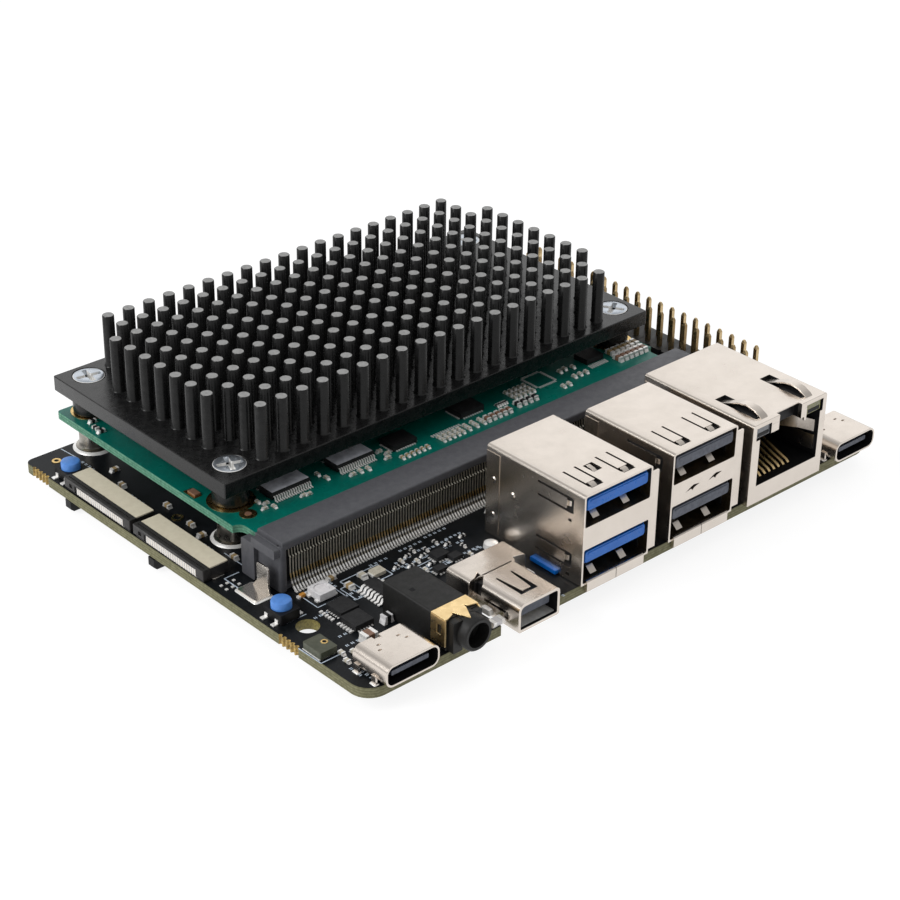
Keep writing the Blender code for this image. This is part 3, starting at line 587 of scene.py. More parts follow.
def leaded_chip(shape, left, right, front, back, bottom, top, leads):
    """A small-outline chip: a moulded body with a waist, and a comb of bent leads at the front and back."""
    waist = (bottom + top) / 2
    shape.use(CHIP)
    for inset, low, high, shrink in ((0.12, bottom, waist, 0), (0, waist, top, 0.035)):
        x0, x1, y0, y1 = left + inset, right - inset, front + inset, back - inset
        shape.prism([(x0, y0), (x1, y0), (x1, y1), (x0, y1)], low, high, shrink=shrink)
    # a thin pale sheet over the top: painted sheen where the light catches the chip
    shape.use(CHIP_PAINTED_SHEEN)
    shape.prism(rounded(left + 0.2, right - 0.2, front + 0.2, back - 0.2, 0.1, 2), top - 0.01, top + 0.01)
    shape.use(SOLDER_AND_PAINTED_HIGHLIGHT)
    pitch = (right - left - 0.3) / leads
    for i in range(leads):
        x = left + 0.15 + pitch * (i + 0.5)
        for side, edge in ((-1, front), (1, back)):
            bends = ((0, waist), (0.25, waist), (0.4, bottom), (0.9, bottom))
            path = [(edge + side * out, z) for out, z in bends]
            shape.leaf(path, 0.12, x - pitch * 0.27, x + pitch * 0.27)


# The rows of small parts on the module: y, first and last x, how many, size and body
MODULE_ROWS = (
    (-3.9, -9.4, -14.2, 6, (0.8, 0.45, 0.35), CAP_TAN),
    (-3.0, -6.4, -2.6, 5, (0.75, 0.45, 0.4), CAP_CREAM),
    (-3.95, -6.4, -2.6, 5, (0.75, 0.45, 0.4), CAP_CREAM),
    (-2.9, -1.3, 1.6, 3, (0.75, 0.45, 0.45), CAP_CREAM),
    (-3.85, -1.3, 1.6, 3, (0.75, 0.45, 0.45), CAP_CREAM),
    (-3.5, 2.6, 6.9, 5, (1.3, 0.62, 0.6), CAP_BROWN),
    (-1.3, 6.6, 8.4, 5, (0.7, 0.3, 0.3), CHIP),
    (-3.1, 9.1, 12.6, 4, (1.3, 0.62, 0.6), CHIP),
    (-1.4, 10.3, 14.0, 5, (0.75, 0.42, 0.4), CAP_CREAM),
    (-0.35, 10.3, 14.0, 5, (0.75, 0.42, 0.4), CAP_CREAM),
    (0.7, 10.3, 14.0, 5, (0.75, 0.42, 0.4), CAP_CREAM),
    (-2.6, 31.2, 36.6, 6, (1.6, 0.75, 0.75), CAP_BROWN),
    (-0.4, 31.6, 37.0, 6, (1.5, 0.72, 0.7), CAP_TAN),
)
# Loose small parts of three sizes on the module: x, y and whether the part is turned
MODULE_LOOSE = (
    ((0.8, 0.45, 0.35), (
        (-37.3, -0.2, 1), (-36.6, -1.2, 0), (-37.6, -2.2, 0), (-36.3, -2.6, 1), (-31.4, -2.9, 0), (-30.6, -3.1, 0),
    )),
    ((0.85, 0.5, 0.4), (
        (-26.4, 0.3, 1), (-26.0, -1.3, 1), (-22.6, -3.0, 0), (-21.2, -2.9, 1), (-19.9, -3.1, 1), (-15.6, -0.4, 0),
        (-15.0, -1.6, 0), (-15.8, -2.6, 0),
    )),
    ((0.8, 0.5, 0.4), (
        (18.5, -3.4, 1), (19.7, -3.4, 1), (22.0, -2.2, 1), (23.2, -2.2, 1), (24.4, -2.3, 1), (21.4, 0.4, 1),
        (22.6, 0.6, 1), (24.0, 0.2, 1),
    )),
)


def module_small_parts():
    """What stands on the strip of the module in front of the heat sink, and along its other edges."""
    level = MODULE_TOP
    parts = Shape(CHIP)
    for number in (1, 2):
        left, right, front, back, _, top = sides(f"bus_chip_{number}")
        leaded_chip(parts, left, right, front + 0.7, back - 0.7, level + 0.12, top, 16)
    for size, places in MODULE_LOOSE:
        for x, y, turn in places:
            passive(parts, x, y, size, level, turn, CAP_CREAM)
    for y, first, last, count, size, body in MODULE_ROWS:
        passive_row(parts, y, first, last, count, size, level, body)
    flat_chip(parts, -11.8, -0.2, 4.4, 3.2, 0.9, level, pads=9)
    flat_chip(parts, 2.1, 0.9, 4.6, 3.6, 0.95, level, pads=9)
    flat_chip(parts, 28.0, 0.7, 3.6, 2.8, 0.9, level)
    parts.use(SOLDER_AND_PAINTED_HIGHLIGHT)
    # Rows of bare pads: first x, pitch, how many, y, half sizes and height
    pad_rows = ((-6.8, 0.44, 13, -2.0, 0.12, 0.3, 0.1), (26.2, 0.42, 9, -1.5, 0.11, 0.5, 0.12))
    for first, pitch, count, y, half_x, half_y, thick in pad_rows:
        for i in range(count):
            parts.pad(first + pitch * i, y, half_x, half_y, level, level + thick)
    ring_x, ring_y, ring = 17.2, 0.7, 3.9  # a square of pads whose chip isn't fitted
    for i in range(11):
        along = (i - 5) * ring / 12
        for side in SIDES:
            parts.pad(ring_x + along, ring_y + side * ring / 2, 0.1, 0.22, level, level + 0.1)
            parts.pad(ring_x + side * ring / 2, ring_y + along, 0.22, 0.1, level, level + 0.1)
    for x, y, turn in ((-42.4, 31.6, 1), (-42.3, 30.3, 0), (-41.6, 33.6, 0)):
        passive(parts, x, y, (1.1, 0.6, 0.5), level, turn, CHIP)
    parts.use(GOLD).box(-43.3, -41.9, 6.3, 8.9, level, level + 0.06)
    parts.use(CAP_BROWN).box(-42.9, -41.9, 6.7, 8.4, level, level + 0.3)
    for i in range(9):
        passive(parts, MODULE_RIGHT - 2.6, 8.0 + 2.9 * i, (0.8, 0.45, 0.4), level, i % 2, CAP_CREAM)
    for i in range(14):
        passive(parts, -30 + 4.3 * i, MODULE_BACK - 1.4, (0.9, 0.5, 0.4), level, i % 2, CAP_TAN)
    parts.finish("module_small_parts", ["bus_chip_1", "bus_chip_2"], slot="chip_black")


def hidden_chips():
    """Processor, memory, storage, power manager and gap filler between the module and the heat sink."""
    for node in ("processor", "memory_chip_1", "memory_chip_2", "storage_chip", "power_manager_chip"):
        left, right, front, back, bottom, top = sides(node)
        chip = Shape(CHIP).prism(rounded(left, right, front, back, 0.25, 3), bottom + LIFT, top)
        chip.use(SOLDER_AND_PAINTED_HIGHLIGHT)
        ball = [(0, MODULE_TOP), (0.2, MODULE_TOP + 0.03), (0.22, bottom + LIFT), (0, bottom + 0.12)]
        for i in range(12):
            x = left + (right - left) * (i + 0.5) / 12
            y = front + (back - front) * (i + 0.5) / 12
            for place in ((x, front + 0.4), (x, back - 0.4), (left + 0.4, y), (right - 0.4, y)):
                chip.turned(ball, 8, place)
        chip.finish(f"{node}_package", [node], bevel=0.04, slot="chip_black")
    left, right, front, back, bottom, top = sides("thermal_pad")
    pad = Shape(PAD_GREY).prism(rounded(left, right, front, back, 0.6, 4), bottom, top)
    pad.finish("thermal_pad_soft", ["thermal_pad"], bevel=0.1, slot="thermal_pad_grey")


# ---------------------------------------------------------------- heat sink


PIN_PITCH, PIN_RADIUS, PIN_CHAMFER = 3.62, 0.92, 0.11
PIN_COLUMNS, PIN_ROWS, PIN_END_ROWS = 21, 11, 7
PEDESTAL = (-14.6, 9.4, 9.4, 29.4, 12.3)  # the block over the processor: its sides and its underside


def heat_sink():
    outline = rounded(SINK_LEFT, SINK_RIGHT, SINK_FRONT, SINK_BACK, 0.25, 3)
    plate = Shape(ANODISED).prism(outline, SINK_BOTTOM, SINK_TOP)
    holes = Shape(ANODISED)
    hole = [(0, 9), (SPACER_BORE, 9)]
    hole += [(SPACER_BORE, SINK_TOP - 1.5), (2.45, SINK_TOP - 0.15), (2.5, SINK_TOP + 1), (0, SINK_TOP + 1)]
    for place in SCREW_PLACES:
        holes.turned(hole, 48, place)
    plate.cut(holes)
    plate.finish("heat_sink_plate", ["heat_sink"], bevel=0.18, slot="black_anodised_aluminium")

    pins = Shape(ANODISED)
    middle_x, middle_y = (SINK_LEFT + SINK_RIGHT) / 2, (SINK_FRONT + SINK_BACK) / 2
    for column in range(PIN_COLUMNS):
        rows = PIN_END_ROWS if column in (0, PIN_COLUMNS - 1) else PIN_ROWS
        x = middle_x + (column - (PIN_COLUMNS - 1) / 2) * PIN_PITCH
        for row in range(rows):
            place = (x, middle_y + (row - (rows - 1) / 2) * PIN_PITCH)
            tip = PIN_TIP - chance.uniform(0, 0.06)
            rim = (PIN_RADIUS - PIN_CHAMFER, tip)
            profile = [(0, SINK_TOP - 0.3), (PIN_RADIUS + 0.15, SINK_TOP - 0.02), (PIN_RADIUS, SINK_TOP + 0.2)]
            pins.use(ANODISED).turned([*profile, (PIN_RADIUS - 0.03, tip - 0.1), rim], 24, place)
            # the flat end in grey: painted light on the pin's top
            pins.use(PIN_END).turned([rim, (0, tip)], 24, place)
    bmesh.ops.remove_doubles(pins.mesh, verts=pins.mesh.verts, dist=0.001)
    pins.finish("heat_sink_pins", smooth=50, slot="black_anodised_aluminium")

    bosses = Shape(ANODISED)
    foot = MODULE_TOP + LIFT
    boss = [(SPACER_BORE, SINK_BOTTOM), (SPACER_BORE, foot)]
    boss += [(2.5, foot), (2.65, foot + 0.15), (2.65, SINK_BOTTOM)]
    for place in SCREW_PLACES:
        bosses.turned(boss, 48, place)
    bosses.box(*PEDESTAL, SINK_BOTTOM + 0.1)
    bosses.finish("heat_sink_bosses")


def screws():
    head, shank = 2.35, 1.2
    profile = [(0, 5.4), (shank - 0.3, 5.4), (shank, 5.7), (shank, SINK_TOP - 1.35)]
    profile += [(head - 0.12, SINK_TOP - 0.12), (head, SINK_TOP - 0.05)]
    profile += [(head - 0.08, SINK_TOP), (head * 0.5, SINK_TOP), (0, SINK_TOP)]
    recess = [(0, SINK_TOP - 1.3), (0.35, SINK_TOP - 0.9), (0.75, SINK_TOP + 0.2), (0, SINK_TOP + 0.2)]
    arm_outline = rounded(-1.6, 1.6, -0.33, 0.33, 0.12, 2)
    for number, (x, y) in enumerate(SCREW_PLACES, start=1):
        screw = Shape(ZINC).turned(profile, 48, (x, y))
        for arm in (0, 90):
            a = math.radians(20 + 50 * number + arm)
            c, s = math.cos(a), math.sin(a)
            spun = [(x + p * c - q * s, y + p * s + q * c) for p, q in arm_outline]
            screw.cut_prism(spun, SINK_TOP - 1.0, SINK_TOP + 0.4, shrink=-0.25)
        screw.cut(Shape(ZINC).turned(recess, 24, (x, y)))

        def choose(point, normal, x=x, y=y):  # painted highlights: the recess and the rim take the bright solder finish
            out = math.hypot(point.x - x, point.y - y)
            in_recess = SINK_TOP - 1.4 < point.z < SINK_TOP - 0.02 and out < 1.7
            return SOLDER_AND_PAINTED_HIGHLIGHT if in_recess or out > head - 0.16 else None

        screw.paint(choose)
        name = f"heat_sink_screw_head_{number}"
        screw.finish(name, [f"heat_sink_screw_{number}"], smooth=40, slot="zinc_plated_steel")


def spacers():
    base = BOARD_TOP
    flange = [(2.55, base), (3.15, base), (3.1, base + 0.06), (2.66, base + 0.3), (2.55, base)]
    for number, place in enumerate(SCREW_PLACES, start=1):
        top = sides(f"spacer_{number}")[5]
        profile = [(1.4, base), (2.5, base), (2.65, base + 0.12), (2.6, base + 0.42), (2.2, base + 0.55),
                   (2.1, base + 0.9), (2.1, top - 0.2), (1.95, top), (1.4, top), (1.4, base)]
        spacer = Shape(SPACER).turned(profile, 48, place)
        spacer.use(SOLDER_AND_PAINTED_HIGHLIGHT).turned(flange, 48, place)
        spacer.finish(f"spacer_{number}_turned", [f"spacer_{number}"], smooth=40, slot="tinned_steel")


# ---------------------------------------------------------------- module connector


SLOT_LEFT, SLOT_RIGHT, SLOT_FRONT, SLOT_BACK = -43.5, 38.9, -13.1, -7.7
SLOT_TOP = sides("edge_connector_housing")[5]
CONTACT_PITCH = 0.5
HOOK = SLOT_TOP - 2.85  # the level of the hook in each contact
# A contact from top to bottom: material, (y behind the slot's front, z) along it, thickness and half width
CONTACT_BENDS = (
    (CONTACT, ((0.8, SLOT_TOP - 1.3), (0.66, HOOK)), 0.12, 0.08),
    (CONTACT, ((0.62, HOOK + 0.1), (0.36, HOOK - 0.1)), 0.16, 0.1),
    (CONTACT, ((0.5, HOOK - 0.2), (0.5, 6.3)), 0.12, 0.09),
    (CONTACT_GOLD, ((0.5, 6.35), (0.3, 5.6)), 0.15, 0.1),
    (CONTACT, ((0.3, 5.6), (0.1, 5.0), (-0.2, 4.5)), 0.13, 0.09),
    (SOLDER_AND_PAINTED_HIGHLIGHT, ((0.2, 5.25), (0.06, 4.9)), 0.18, 0.1),
    (SOLDER_AND_PAINTED_HIGHLIGHT, ((-0.15, 4.55), (-0.6, 4.15)), 0.22, 0.12),
)


def connector_cover():
    left, right, front, back, top = SLOT_LEFT, SLOT_RIGHT, SLOT_FRONT, SLOT_BACK, SLOT_TOP
    housing = Shape(SLOT_GREY)
    housing.prism(rounded(front, back, top - 1.35, top, 0.28, 3), left + 0.4, right - 0.4, "X")
    # near-black blocks inside the slot: painted shade in the recess
    housing.use(RECESS_PAINTED_SHADE)
    housing.box(left + 0.6, right - 0.6, front + 0.9, back - 0.2, 5.0, top - 0.9)
    housing.box(left + 0.6, right - 0.6, back - 0.5, -5.6, 4.5, MODULE_BOTTOM - 0.1)
    housing.use(SLOT_GREY)
    for end, side in ((left, 1), (right, -1)):
        housing.prism(circle(0.66, 20, (end + side * 0.65, front + 0.62)), BOARD_TOP + LIFT, top - 0.6)
        housing.box(end, end + side * 1.25, front + 0.6, back, BOARD_TOP + LIFT, 11.2)
        ledge = rounded(front + 0.2, back - 0.2, 9.6, 11.0, 0.2, 3)
        housing.prism(ledge, end - side * 0.9, end + side * 0.9, "X")
        housing.prism(rounded(-8.2, -5.4, 4.1, 9.8, 0.25, 3), end - side * 0.7, end + side * 0.7, "X")
    housing.box(left + 1.0, right - 1.0, front + 0.35, front + 1.2, 4.15, 4.75)
    housing.finish("edge_connector_cover", ["edge_connector_housing"], bevel=0.05, slot="grey_black_plastic")


def connector_contacts():
    contacts = Shape(CONTACT)
    count = int((SLOT_RIGHT - SLOT_LEFT - 3.2) / CONTACT_PITCH)
    first = (SLOT_LEFT + SLOT_RIGHT) / 2 - (count - 1) / 2 * CONTACT_PITCH
    for i in range(count):
        x = first + i * CONTACT_PITCH
        for finish, bends, thick, half in CONTACT_BENDS:
            contacts.use(finish).leaf([(SLOT_FRONT + y, z) for y, z in bends], thick, x - half, x + half)
        contacts.pad(x, SLOT_FRONT - 0.8, 0.13, 0.3, BOARD_TOP, BOARD_TOP + 0.14)
    name = "edge_connector_contact_bank"
    contacts.finish(name, ["edge_connector_contacts"], smooth=30, slot="tinned_contact_alloy")


def connector_clips():
    front, back = -12.6, -8.4
    blade = [(-12.6, 4.2), (-8.8, 4.2), (-9.9, 5.6), (-9.9, 8.1)]
    blade += [(-10.2, 8.4), (-12.0, 8.4), (-12.3, 8.1), (-12.3, 5.6)]
    for place, end, side in (("left", SLOT_LEFT, 1), ("right", SLOT_RIGHT, -1)):
        x0, x1 = sorted((end - side * 1.3, end - side * 3.9))
        clip = Shape(TIN).prism(rounded(x0, x1, front, back, 0.35, 4), BOARD_TOP + 0.02, BOARD_TOP + 0.32)
        clip.use(SOLDER_AND_PAINTED_HIGHLIGHT)
        fillet = rounded(x0 - 0.35, x1 + 0.35, front - 0.35, back + 0.35, 0.5, 4)
        clip.prism(fillet, BOARD_TOP, BOARD_TOP + 0.12, shrink=0.04)
        clip.use(TIN).prism(blade, end - side * 1.3, end - side * 1.6, "X")
        name = f"edge_connector_clip_{place}"
        clip.finish(f"{name}_bent", [name], bevel=0.06, slot="tinned_steel")


# ---------------------------------------------------------------- sockets at the front edge


USB_PORTS = ((4.4, 9.7), (13.2, 17.9))  # floor and roof of the lower and the upper mouth
USB_DEPTH = 14.5


def usb_roof_springs(shell, kind, middle, front, top):
    """Tongues slit into the roof, each free at its front end, where a window opens."""
    roof = (top - 0.6, top + 0.4)
    for side in SIDES:
        x = middle + side * 3.05
        for slit in (x - 1.05 * side, x + 1.05 * side):
            shell.cut_box(slit - 0.17, slit + 0.17, front + 1.5, front + 6.6, *roof)
        shell.cut_box(x - 1.1, x + 1.1, front + 1.1, front + 2.5, *roof)
        path = [(front + 2.7, top - 0.12), (front + 2.0, top - 0.3), (front + 1.4, top - 0.75)]
        shell.use(NICKEL).leaf(path, 0.2, x - 0.5, x + 0.5)
    if kind == "usb3":
        shell.cut_box(middle - 1.0, middle + 0.7, front + 3.9, front + 6.0, *roof)
        path = [(front + 5.9, top - 0.15), (front + 4.9, top - 0.3), (front + 4.3, top - 0.6)]
        shell.use(NICKEL).leaf(path, 0.2, middle - 0.5, middle + 0.2)


def usb_side_springs(shell, left, right, front, low, high):
    centre_z = (low + high) / 2 + 0.2
    for x, inward in ((left, 1), (right, -1)):
        wall = (x - 0.4, x + 0.4)
        for z in (centre_z - 1.0, centre_z + 1.0):
            shell.cut_box(*wall, front + 2.3, front + 8.9, z - 0.19, z + 0.19)
        shell.cut_box(*wall, front + 2.0, front + 3.3, centre_z - 1.1, centre_z + 1.1)
        path = [(x + inward * bend, front + y) for bend, y in ((0.12, 3.5), (0.3, 2.9), (0.8, 2.4))]
        shell.use(NICKEL).leaf(path, 0.2, centre_z - 0.35, centre_z + 0.45, "Z")
        slot_z = centre_z - 2.3
        shell.cut_box(*wall, front + 2.3, front + 2.95, slot_z - 0.22, slot_z + 0.22)


def usb_shell(kind, left, right, front, back, top):
    """Folded sheet metal with two mouths, with spring tabs punched into it."""
    bottom, middle = BOARD_TOP + LIFT, (left + right) / 2
    shell = Shape(NICKEL).prism(rounded(left, right, bottom, top, (0.5, 0.5, 0, 0)), front, back, "Y")
    inner_left, inner_right = left + SHEET, right - SHEET
    for low, high in USB_PORTS:
        mouth = rounded(inner_left, inner_right, low, high, 0.25, 3)
        shell.cut_prism(mouth, front - 1, front + USB_DEPTH, "Y")

    # Faces inside the mouths take the darker nickel: painted shade
    def choose(p, normal):
        between = inner_left - 0.05 < p.x < inner_right + 0.05 and front + 0.05 < p.y < front + USB_DEPTH + 0.3
        return NICKEL_PAINTED_SHADE if between and p.z < top - 0.1 else None

    shell.paint(choose)
    usb_roof_springs(shell, kind, middle, front, top)
    for low, high in USB_PORTS:
        usb_side_springs(shell, left, right, front, low, high)
    if kind == "usb2":  # two slanted marks punched into the divider
        slant = ((-1.4, -0.25), (-0.3, -0.05), (0, -0.4), (0.3, -0.05), (1.4, 0.25), (0.2, 0.45), (-0.3, 0.3))
        for x, z in ((middle - 2.2, 11.35), (middle + 2.4, 11.55)):
            shell.cut_prism([(x + p, z + q) for p, q in slant], front - 1, front + 1.2, "Y")
    shell.use(NICKEL)
    # The rear cover is wrapped round the side walls, and pinned by dimples
    for x, out in ((left, -1), (right, 1)):
        shell.box(x - out * 0.05, x + out * 0.1, back - 2.6, back - 0.02, bottom + 0.5, top - 0.9)
        for z in (7.6, 13.2):
            dimple = [(0, x + out * 0.22), (0.3, x + out * 0.22), (0.5, x + out * 0.1)]
            shell.turned(dimple, 16, (back - 1.5, z), "X")
    shell.turned([(0, left - 0.2), (0.4, left - 0.17), (0.6, left + 0.02)], 20, (back - 5.2, 12.2), "X")
    shell.box(right, right + 1.3, front, front + SHEET, 4.8, 17.0)
    for x0, x1 in ((left + 0.9, middle - 0.05), (middle + 0.05, right - 1.1)):  # the lips below the lower mouth
        shell.prism(rounded(front - 0.3, front + 0.3, 2.9, 4.7, (0.1, 0.25, 0.25, 0.1), 4), x0, x1, "X")
    for low, _ in USB_PORTS:
        for x in (left + 3.1, left + 8.9):  # the springs of the floor, which rise towards the mouth
            rise = ((5.0, 0.08), (2.4, 1.15), (1.7, 1.15), (0.8, 0.35))
            shell.leaf([(front + y, low + z) for y, z in rise], 0.16, x - 0.6, x + 0.6)
    shell.finish(f"{kind}_shell", [f"{kind}_shield"], bevel=0.05, smooth=30, slot="nickel_silver")


def usb_tongues(kind, left, right, front, back, finish):
    """What fills each mouth: the coloured tongue over its contacts, dark liners of painted shade, and the rear wall
    in the darker nickel of painted shade.
    """
    bottom, middle = BOARD_TOP + LIFT, (left + right) / 2
    slot_left, slot_right = left + 0.6, right - 0.42
    insert = Shape(NICKEL_PAINTED_SHADE)
    # Layers of the tongue: inset at its sides, bottom and top below the roof, corner, steps, and start and end
    layers = (
        (0, 2.55, 0.35, 0.5, 4, 0.65, 12),
        (0.22, 2.35, 0.6, 0.4, 4, 0.25, 0.7),
        (0.7, 1.2, 0.85, 0.15, 2, 0.16, 0.3),
    )
    for low, high in USB_PORTS:
        insert.use(finish)
        for inset, under, over, corner, steps, start, stop in layers:
            outline = rounded(slot_left + inset, slot_right - inset, high - under, high - over, corner, steps)
            insert.prism(outline, front + start, front + stop, "Y")
        insert.use(PORT_BLACK_AND_PAINTED_SHADE)  # liners of painted shade, so that the slits of the shell look dark
        insert.box(slot_left, slot_right, front + 1.6, front + 12, high - 0.4, high - 0.12)
        for wall in (left + SHEET + 0.03, right - SHEET - 0.23):
            insert.box(wall, wall + 0.2, front + 1.6, front + 12, low + 0.1, high - 0.15)
        # the rear wall of each mouth in the darker nickel: painted shade
        insert.use(NICKEL_PAINTED_SHADE).box(left + 0.4, right - 0.4, front + 11.6, front + 14.4, low, high)
        for i in range(4):
            x = middle + (i - 1.5) * 2.4
            insert.use(CONTACT).box(x - 0.5, x + 0.5, front + 1.4, front + 9.5, high - 2.66, high - 2.5)
            path = [(front + 1.6, high - 2.6), (front + 3.2, high - 3.3), (front + 6.6, high - 2.6)]
            insert.use(TIN).leaf(path, 0.14, x - 0.3, x + 0.3)
    (_, lower_roof), (upper_floor, _) = USB_PORTS
    insert.use(PORT_BLACK_AND_PAINTED_SHADE)
    insert.box(left + 0.6, right - 0.6, front + 1.0, back - 0.4, lower_roof + 0.2, upper_floor - 0.2)
    foot = rounded(front + 4.4, front + 9.4, bottom - 0.02, bottom + 0.65, 0.12, 2)
    insert.use(finish).prism(foot, left - 0.5, left + 0.2, "X")
    insert.finish(f"{kind}_tongues", [f"{kind}_insert"], bevel=0.06, slot=f"{kind}_plastic")


def usb_stack(kind, left, right, front, back, top, finish):
    """Two receptacles, one above the other, in one shell."""
    usb_shell(kind, left, right, front, back, top)
    usb_tongues(kind, left, right, front, back, finish)


def ethernet_shell(left, right, front, back, top):
    shell = Shape(NICKEL)
    shell.prism(rounded(left, right, BOARD_TOP + LIFT, top, (0.4, 0.4, 0, 0), 4), front, back, "Y")
    shell.cut_box(left + 1.6, right - 1.3, front - 1, back - 4.6, 7.0, 14.8)
    shell.cut_box(left + 5.6, left + 10.4, front - 1, front + 1.5, 14.0, top - 0.15)
    shell.cut_box(left + 5.6, left + 10.4, front - 1, front + 0.7, 14.0, top + 1)
    for x0, x1 in ((left + 0.8, left + 3.9), (right - 4.4, right - 0.8)):
        shell.cut_box(x0, x1, front - 1, front + 1.5, 14.6, top - 0.7)
    fingers = (left + 3.1, left + 12.8)
    for x in fingers:  # slots under the ground fingers
        shell.cut_box(x - 1.15, x + 0.95, front + 1.3, front + 9.1, top - 0.6, top + 0.6)

    # Faces inside the opening take the black plastic: painted shade
    def choose(p, normal):
        inner = left + 0.6 < p.x < right - 0.6 and 6.9 < p.z < top - 0.15 and p.y > front + 0.4
        return PORT_BLACK_AND_PAINTED_SHADE if inner else None

    shell.paint(choose).use(NICKEL)
    arch = ((9.0, -0.7), (7.2, -0.1), (5.4, 0.7), (3.9, 1.0), (2.4, 0.8), (1.2, 0.2), (0.15, -0.75))
    for x in fingers:
        shell.leaf([(front + y, top + z) for y, z in arch], 0.24, x - 0.65, x + 0.8)
    shell.box(left - 0.12, left + 0.1, back - 3.0, back - 0.1, 5.0, top - 1.0)
    for outline in ((left + 4.15, left + 5.45, 14.8, 16.2), (right - 4.9, right - 4.4, 14.2, 16.3)):
        shell.prism(rounded(*outline, 0.15, 2), front - 0.02, front + 0.3, "Y")
    shell.finish("ethernet_shell", ["ethernet_shield"], bevel=0.06, smooth=30, slot="nickel_silver")


def ethernet():
    left, right, front, back, _, top = sides("ethernet_shield")
    ethernet_shell(left, right, front, back, top)
    insert = Shape(PORT_BLACK_AND_PAINTED_SHADE)
    for block in (
        (left + 0.5, right - 0.5, back - 4.8, back - 0.5, 4.5, top - 0.5),
        (left + 0.4, right - 0.4, front + 0.9, back - 1, 4.6, 6.9),
        (left + 0.4, left + 1.55, front + 1.6, back - 1, 4.6, 14.4),
        (right - 1.25, right - 0.4, front + 1.6, back - 1, 4.6, 14.4),
        (left + 0.4, right - 0.4, front + 4.0, back - 1, 14.9, top - 0.7),
    ):
        insert.box(*block)
    insert.finish("ethernet_housing", ["ethernet_insert"], bevel=0.05, slot="port_black_plastic")

    contacts = Shape(BRASS)
    wire = [(front + y, z) for y, z in ((1.3, 7.15), (1.7, 7.5), (4.2, 8.4), (12.2, 11.8), (13.4, 11.8))]
    for i in range(8):
        x = left + 2.9 + 1.02 * i
        contacts.leaf(wire, 0.3, x - 0.21, x + 0.21)
    contacts.use(NICKEL)  # two springs of the shield on the right wall
    for bends, thick, low, high in (
        (((1.35, 0.7), (2.2, 3.0), (4.4, 6.0), (3.9, 8.0)), 0.25, 11.0, 12.9),
        (((1.35, 0.6), (1.6, 2.0), (1.4, 8.0)), 0.2, 8.0, 10.4),
    ):
        contacts.leaf([(right - x, front + y) for x, y in bends], thick, low, high, "Z")
    contacts.finish("ethernet_contact_wires", ["ethernet_contacts"], smooth=50, slot="gold_plate")

    lamps = (("left", PIPE_GREY, left + 1.0, left + 3.9), ("right", PIPE_OLIVE, right - 4.1, right - 1.0))
    for side, finish, x0, x1 in lamps:
        pipe = Shape(finish).prism(rounded(x0, x1, 14.75, top - 0.8, 0.2, 3), front + 0.3, front + 3.6, "Y")
        pipe.use(PORT_BLACK_AND_PAINTED_SHADE).box(x0 + 0.3, x1 - 0.3, front + 0.24, front + 0.34, 14.9, 15.5)
        node = f"ethernet_light_pipe_{side}"
        pipe.finish(f"ethernet_lamp_{side}", [node], bevel=0.08, slot=f"light_pipe_{side}")


USB_C_WIDTH, USB_C_HEIGHT, USB_C_CORNER = 8.94, 3.26, 1.25


def oval(x, z, inset=0.0):
    """The outline of a USB-C shell, or one inside it."""
    half_x, half_z = USB_C_WIDTH / 2 - inset, USB_C_HEIGHT / 2 - inset
    return rounded(x - half_x, x + half_x, z - half_z, z + half_z, USB_C_CORNER - inset, 7)


def usb_c(side, x):
    _, _, front, back, _, top = sides(f"usb_c_shell_{side}")
    z = BOARD_TOP + 1.73
    shell = Shape(NICKEL).prism(oval(x, z), front, back, "Y")
    shell.cut_prism(oval(x, z, 0.3), front - 1, back - 0.6, "Y")

    # Faces inside the shell take the black plastic: painted shade in the mouth
    def choose(p, normal):
        inward = normal.x * (p.x - x) + normal.z * (p.z - z) < -0.01
        return PORT_BLACK_AND_PAINTED_SHADE if inward and front + 0.05 < p.y < back - 0.3 else None

    shell.paint(choose)
    for across, y in ((-1.75, back - 1.9), (-2.35, back - 2.9), (1.55, back - 1.9), (2.15, back - 2.9)):
        mark = rounded(x + across - 0.28, x + across + 0.28, y - 0.14, y + 0.14, 0.1, 2)
        shell.cut_prism(mark, top - 0.2, top + 1)
    shell.cut_box(x - 1.3, x - 0.2, back - 0.7, back + 1, top - 0.5, top + 1)
    for end in SIDES:
        leg = x + end * (USB_C_WIDTH / 2 + 0.1)
        for y in (front + 2.2, back - 1.0):
            fillet = rounded(leg - 0.45, leg + 0.45, y - 0.6, y + 0.6, 0.2, 3)
            shell.use(SOLDER_AND_PAINTED_HIGHLIGHT).prism(fillet, BOARD_TOP, BOARD_TOP + 0.14, shrink=0.15)
            shell.use(NICKEL).pad(leg, y, 0.16, 0.45, BOARD_TOP + 0.02, BOARD_TOP + 1.3)
    name = f"usb_c_{side}_shell_drawn"
    shell.finish(name, [f"usb_c_shell_{side}"], bevel=0.04, smooth=40, slot="nickel_silver")

    blade = rounded(x - 3.1, x + 3.1, z - 0.35, z + 0.35, 0.15, 3)
    tongue = Shape(SLATE).prism(blade, front + 0.6, back - 0.7, "Y")
    tongue.use(PORT_BLACK_AND_PAINTED_SHADE).prism(oval(x, z, 0.34), back - 1.4, back - 0.62, "Y")
    tongue.use(CONTACT)
    for i in range(12):
        along = x + (i - 5.5) * 0.5
        for level in (z - 0.39, z + 0.33):
            tongue.box(along - 0.13, along + 0.13, front + 1.3, back - 1.6, level, level + 0.06)
    tongue.use(TIN)
    for end in SIDES:
        tongue.box(x + end * 2.95, x + end * 3.3, front + 1.6, back - 1.6, z - 0.1, z + 0.1)
    tongue.finish(f"usb_c_{side}_tongue_moulded", [f"usb_c_tongue_{side}"], slot="port_black_plastic")


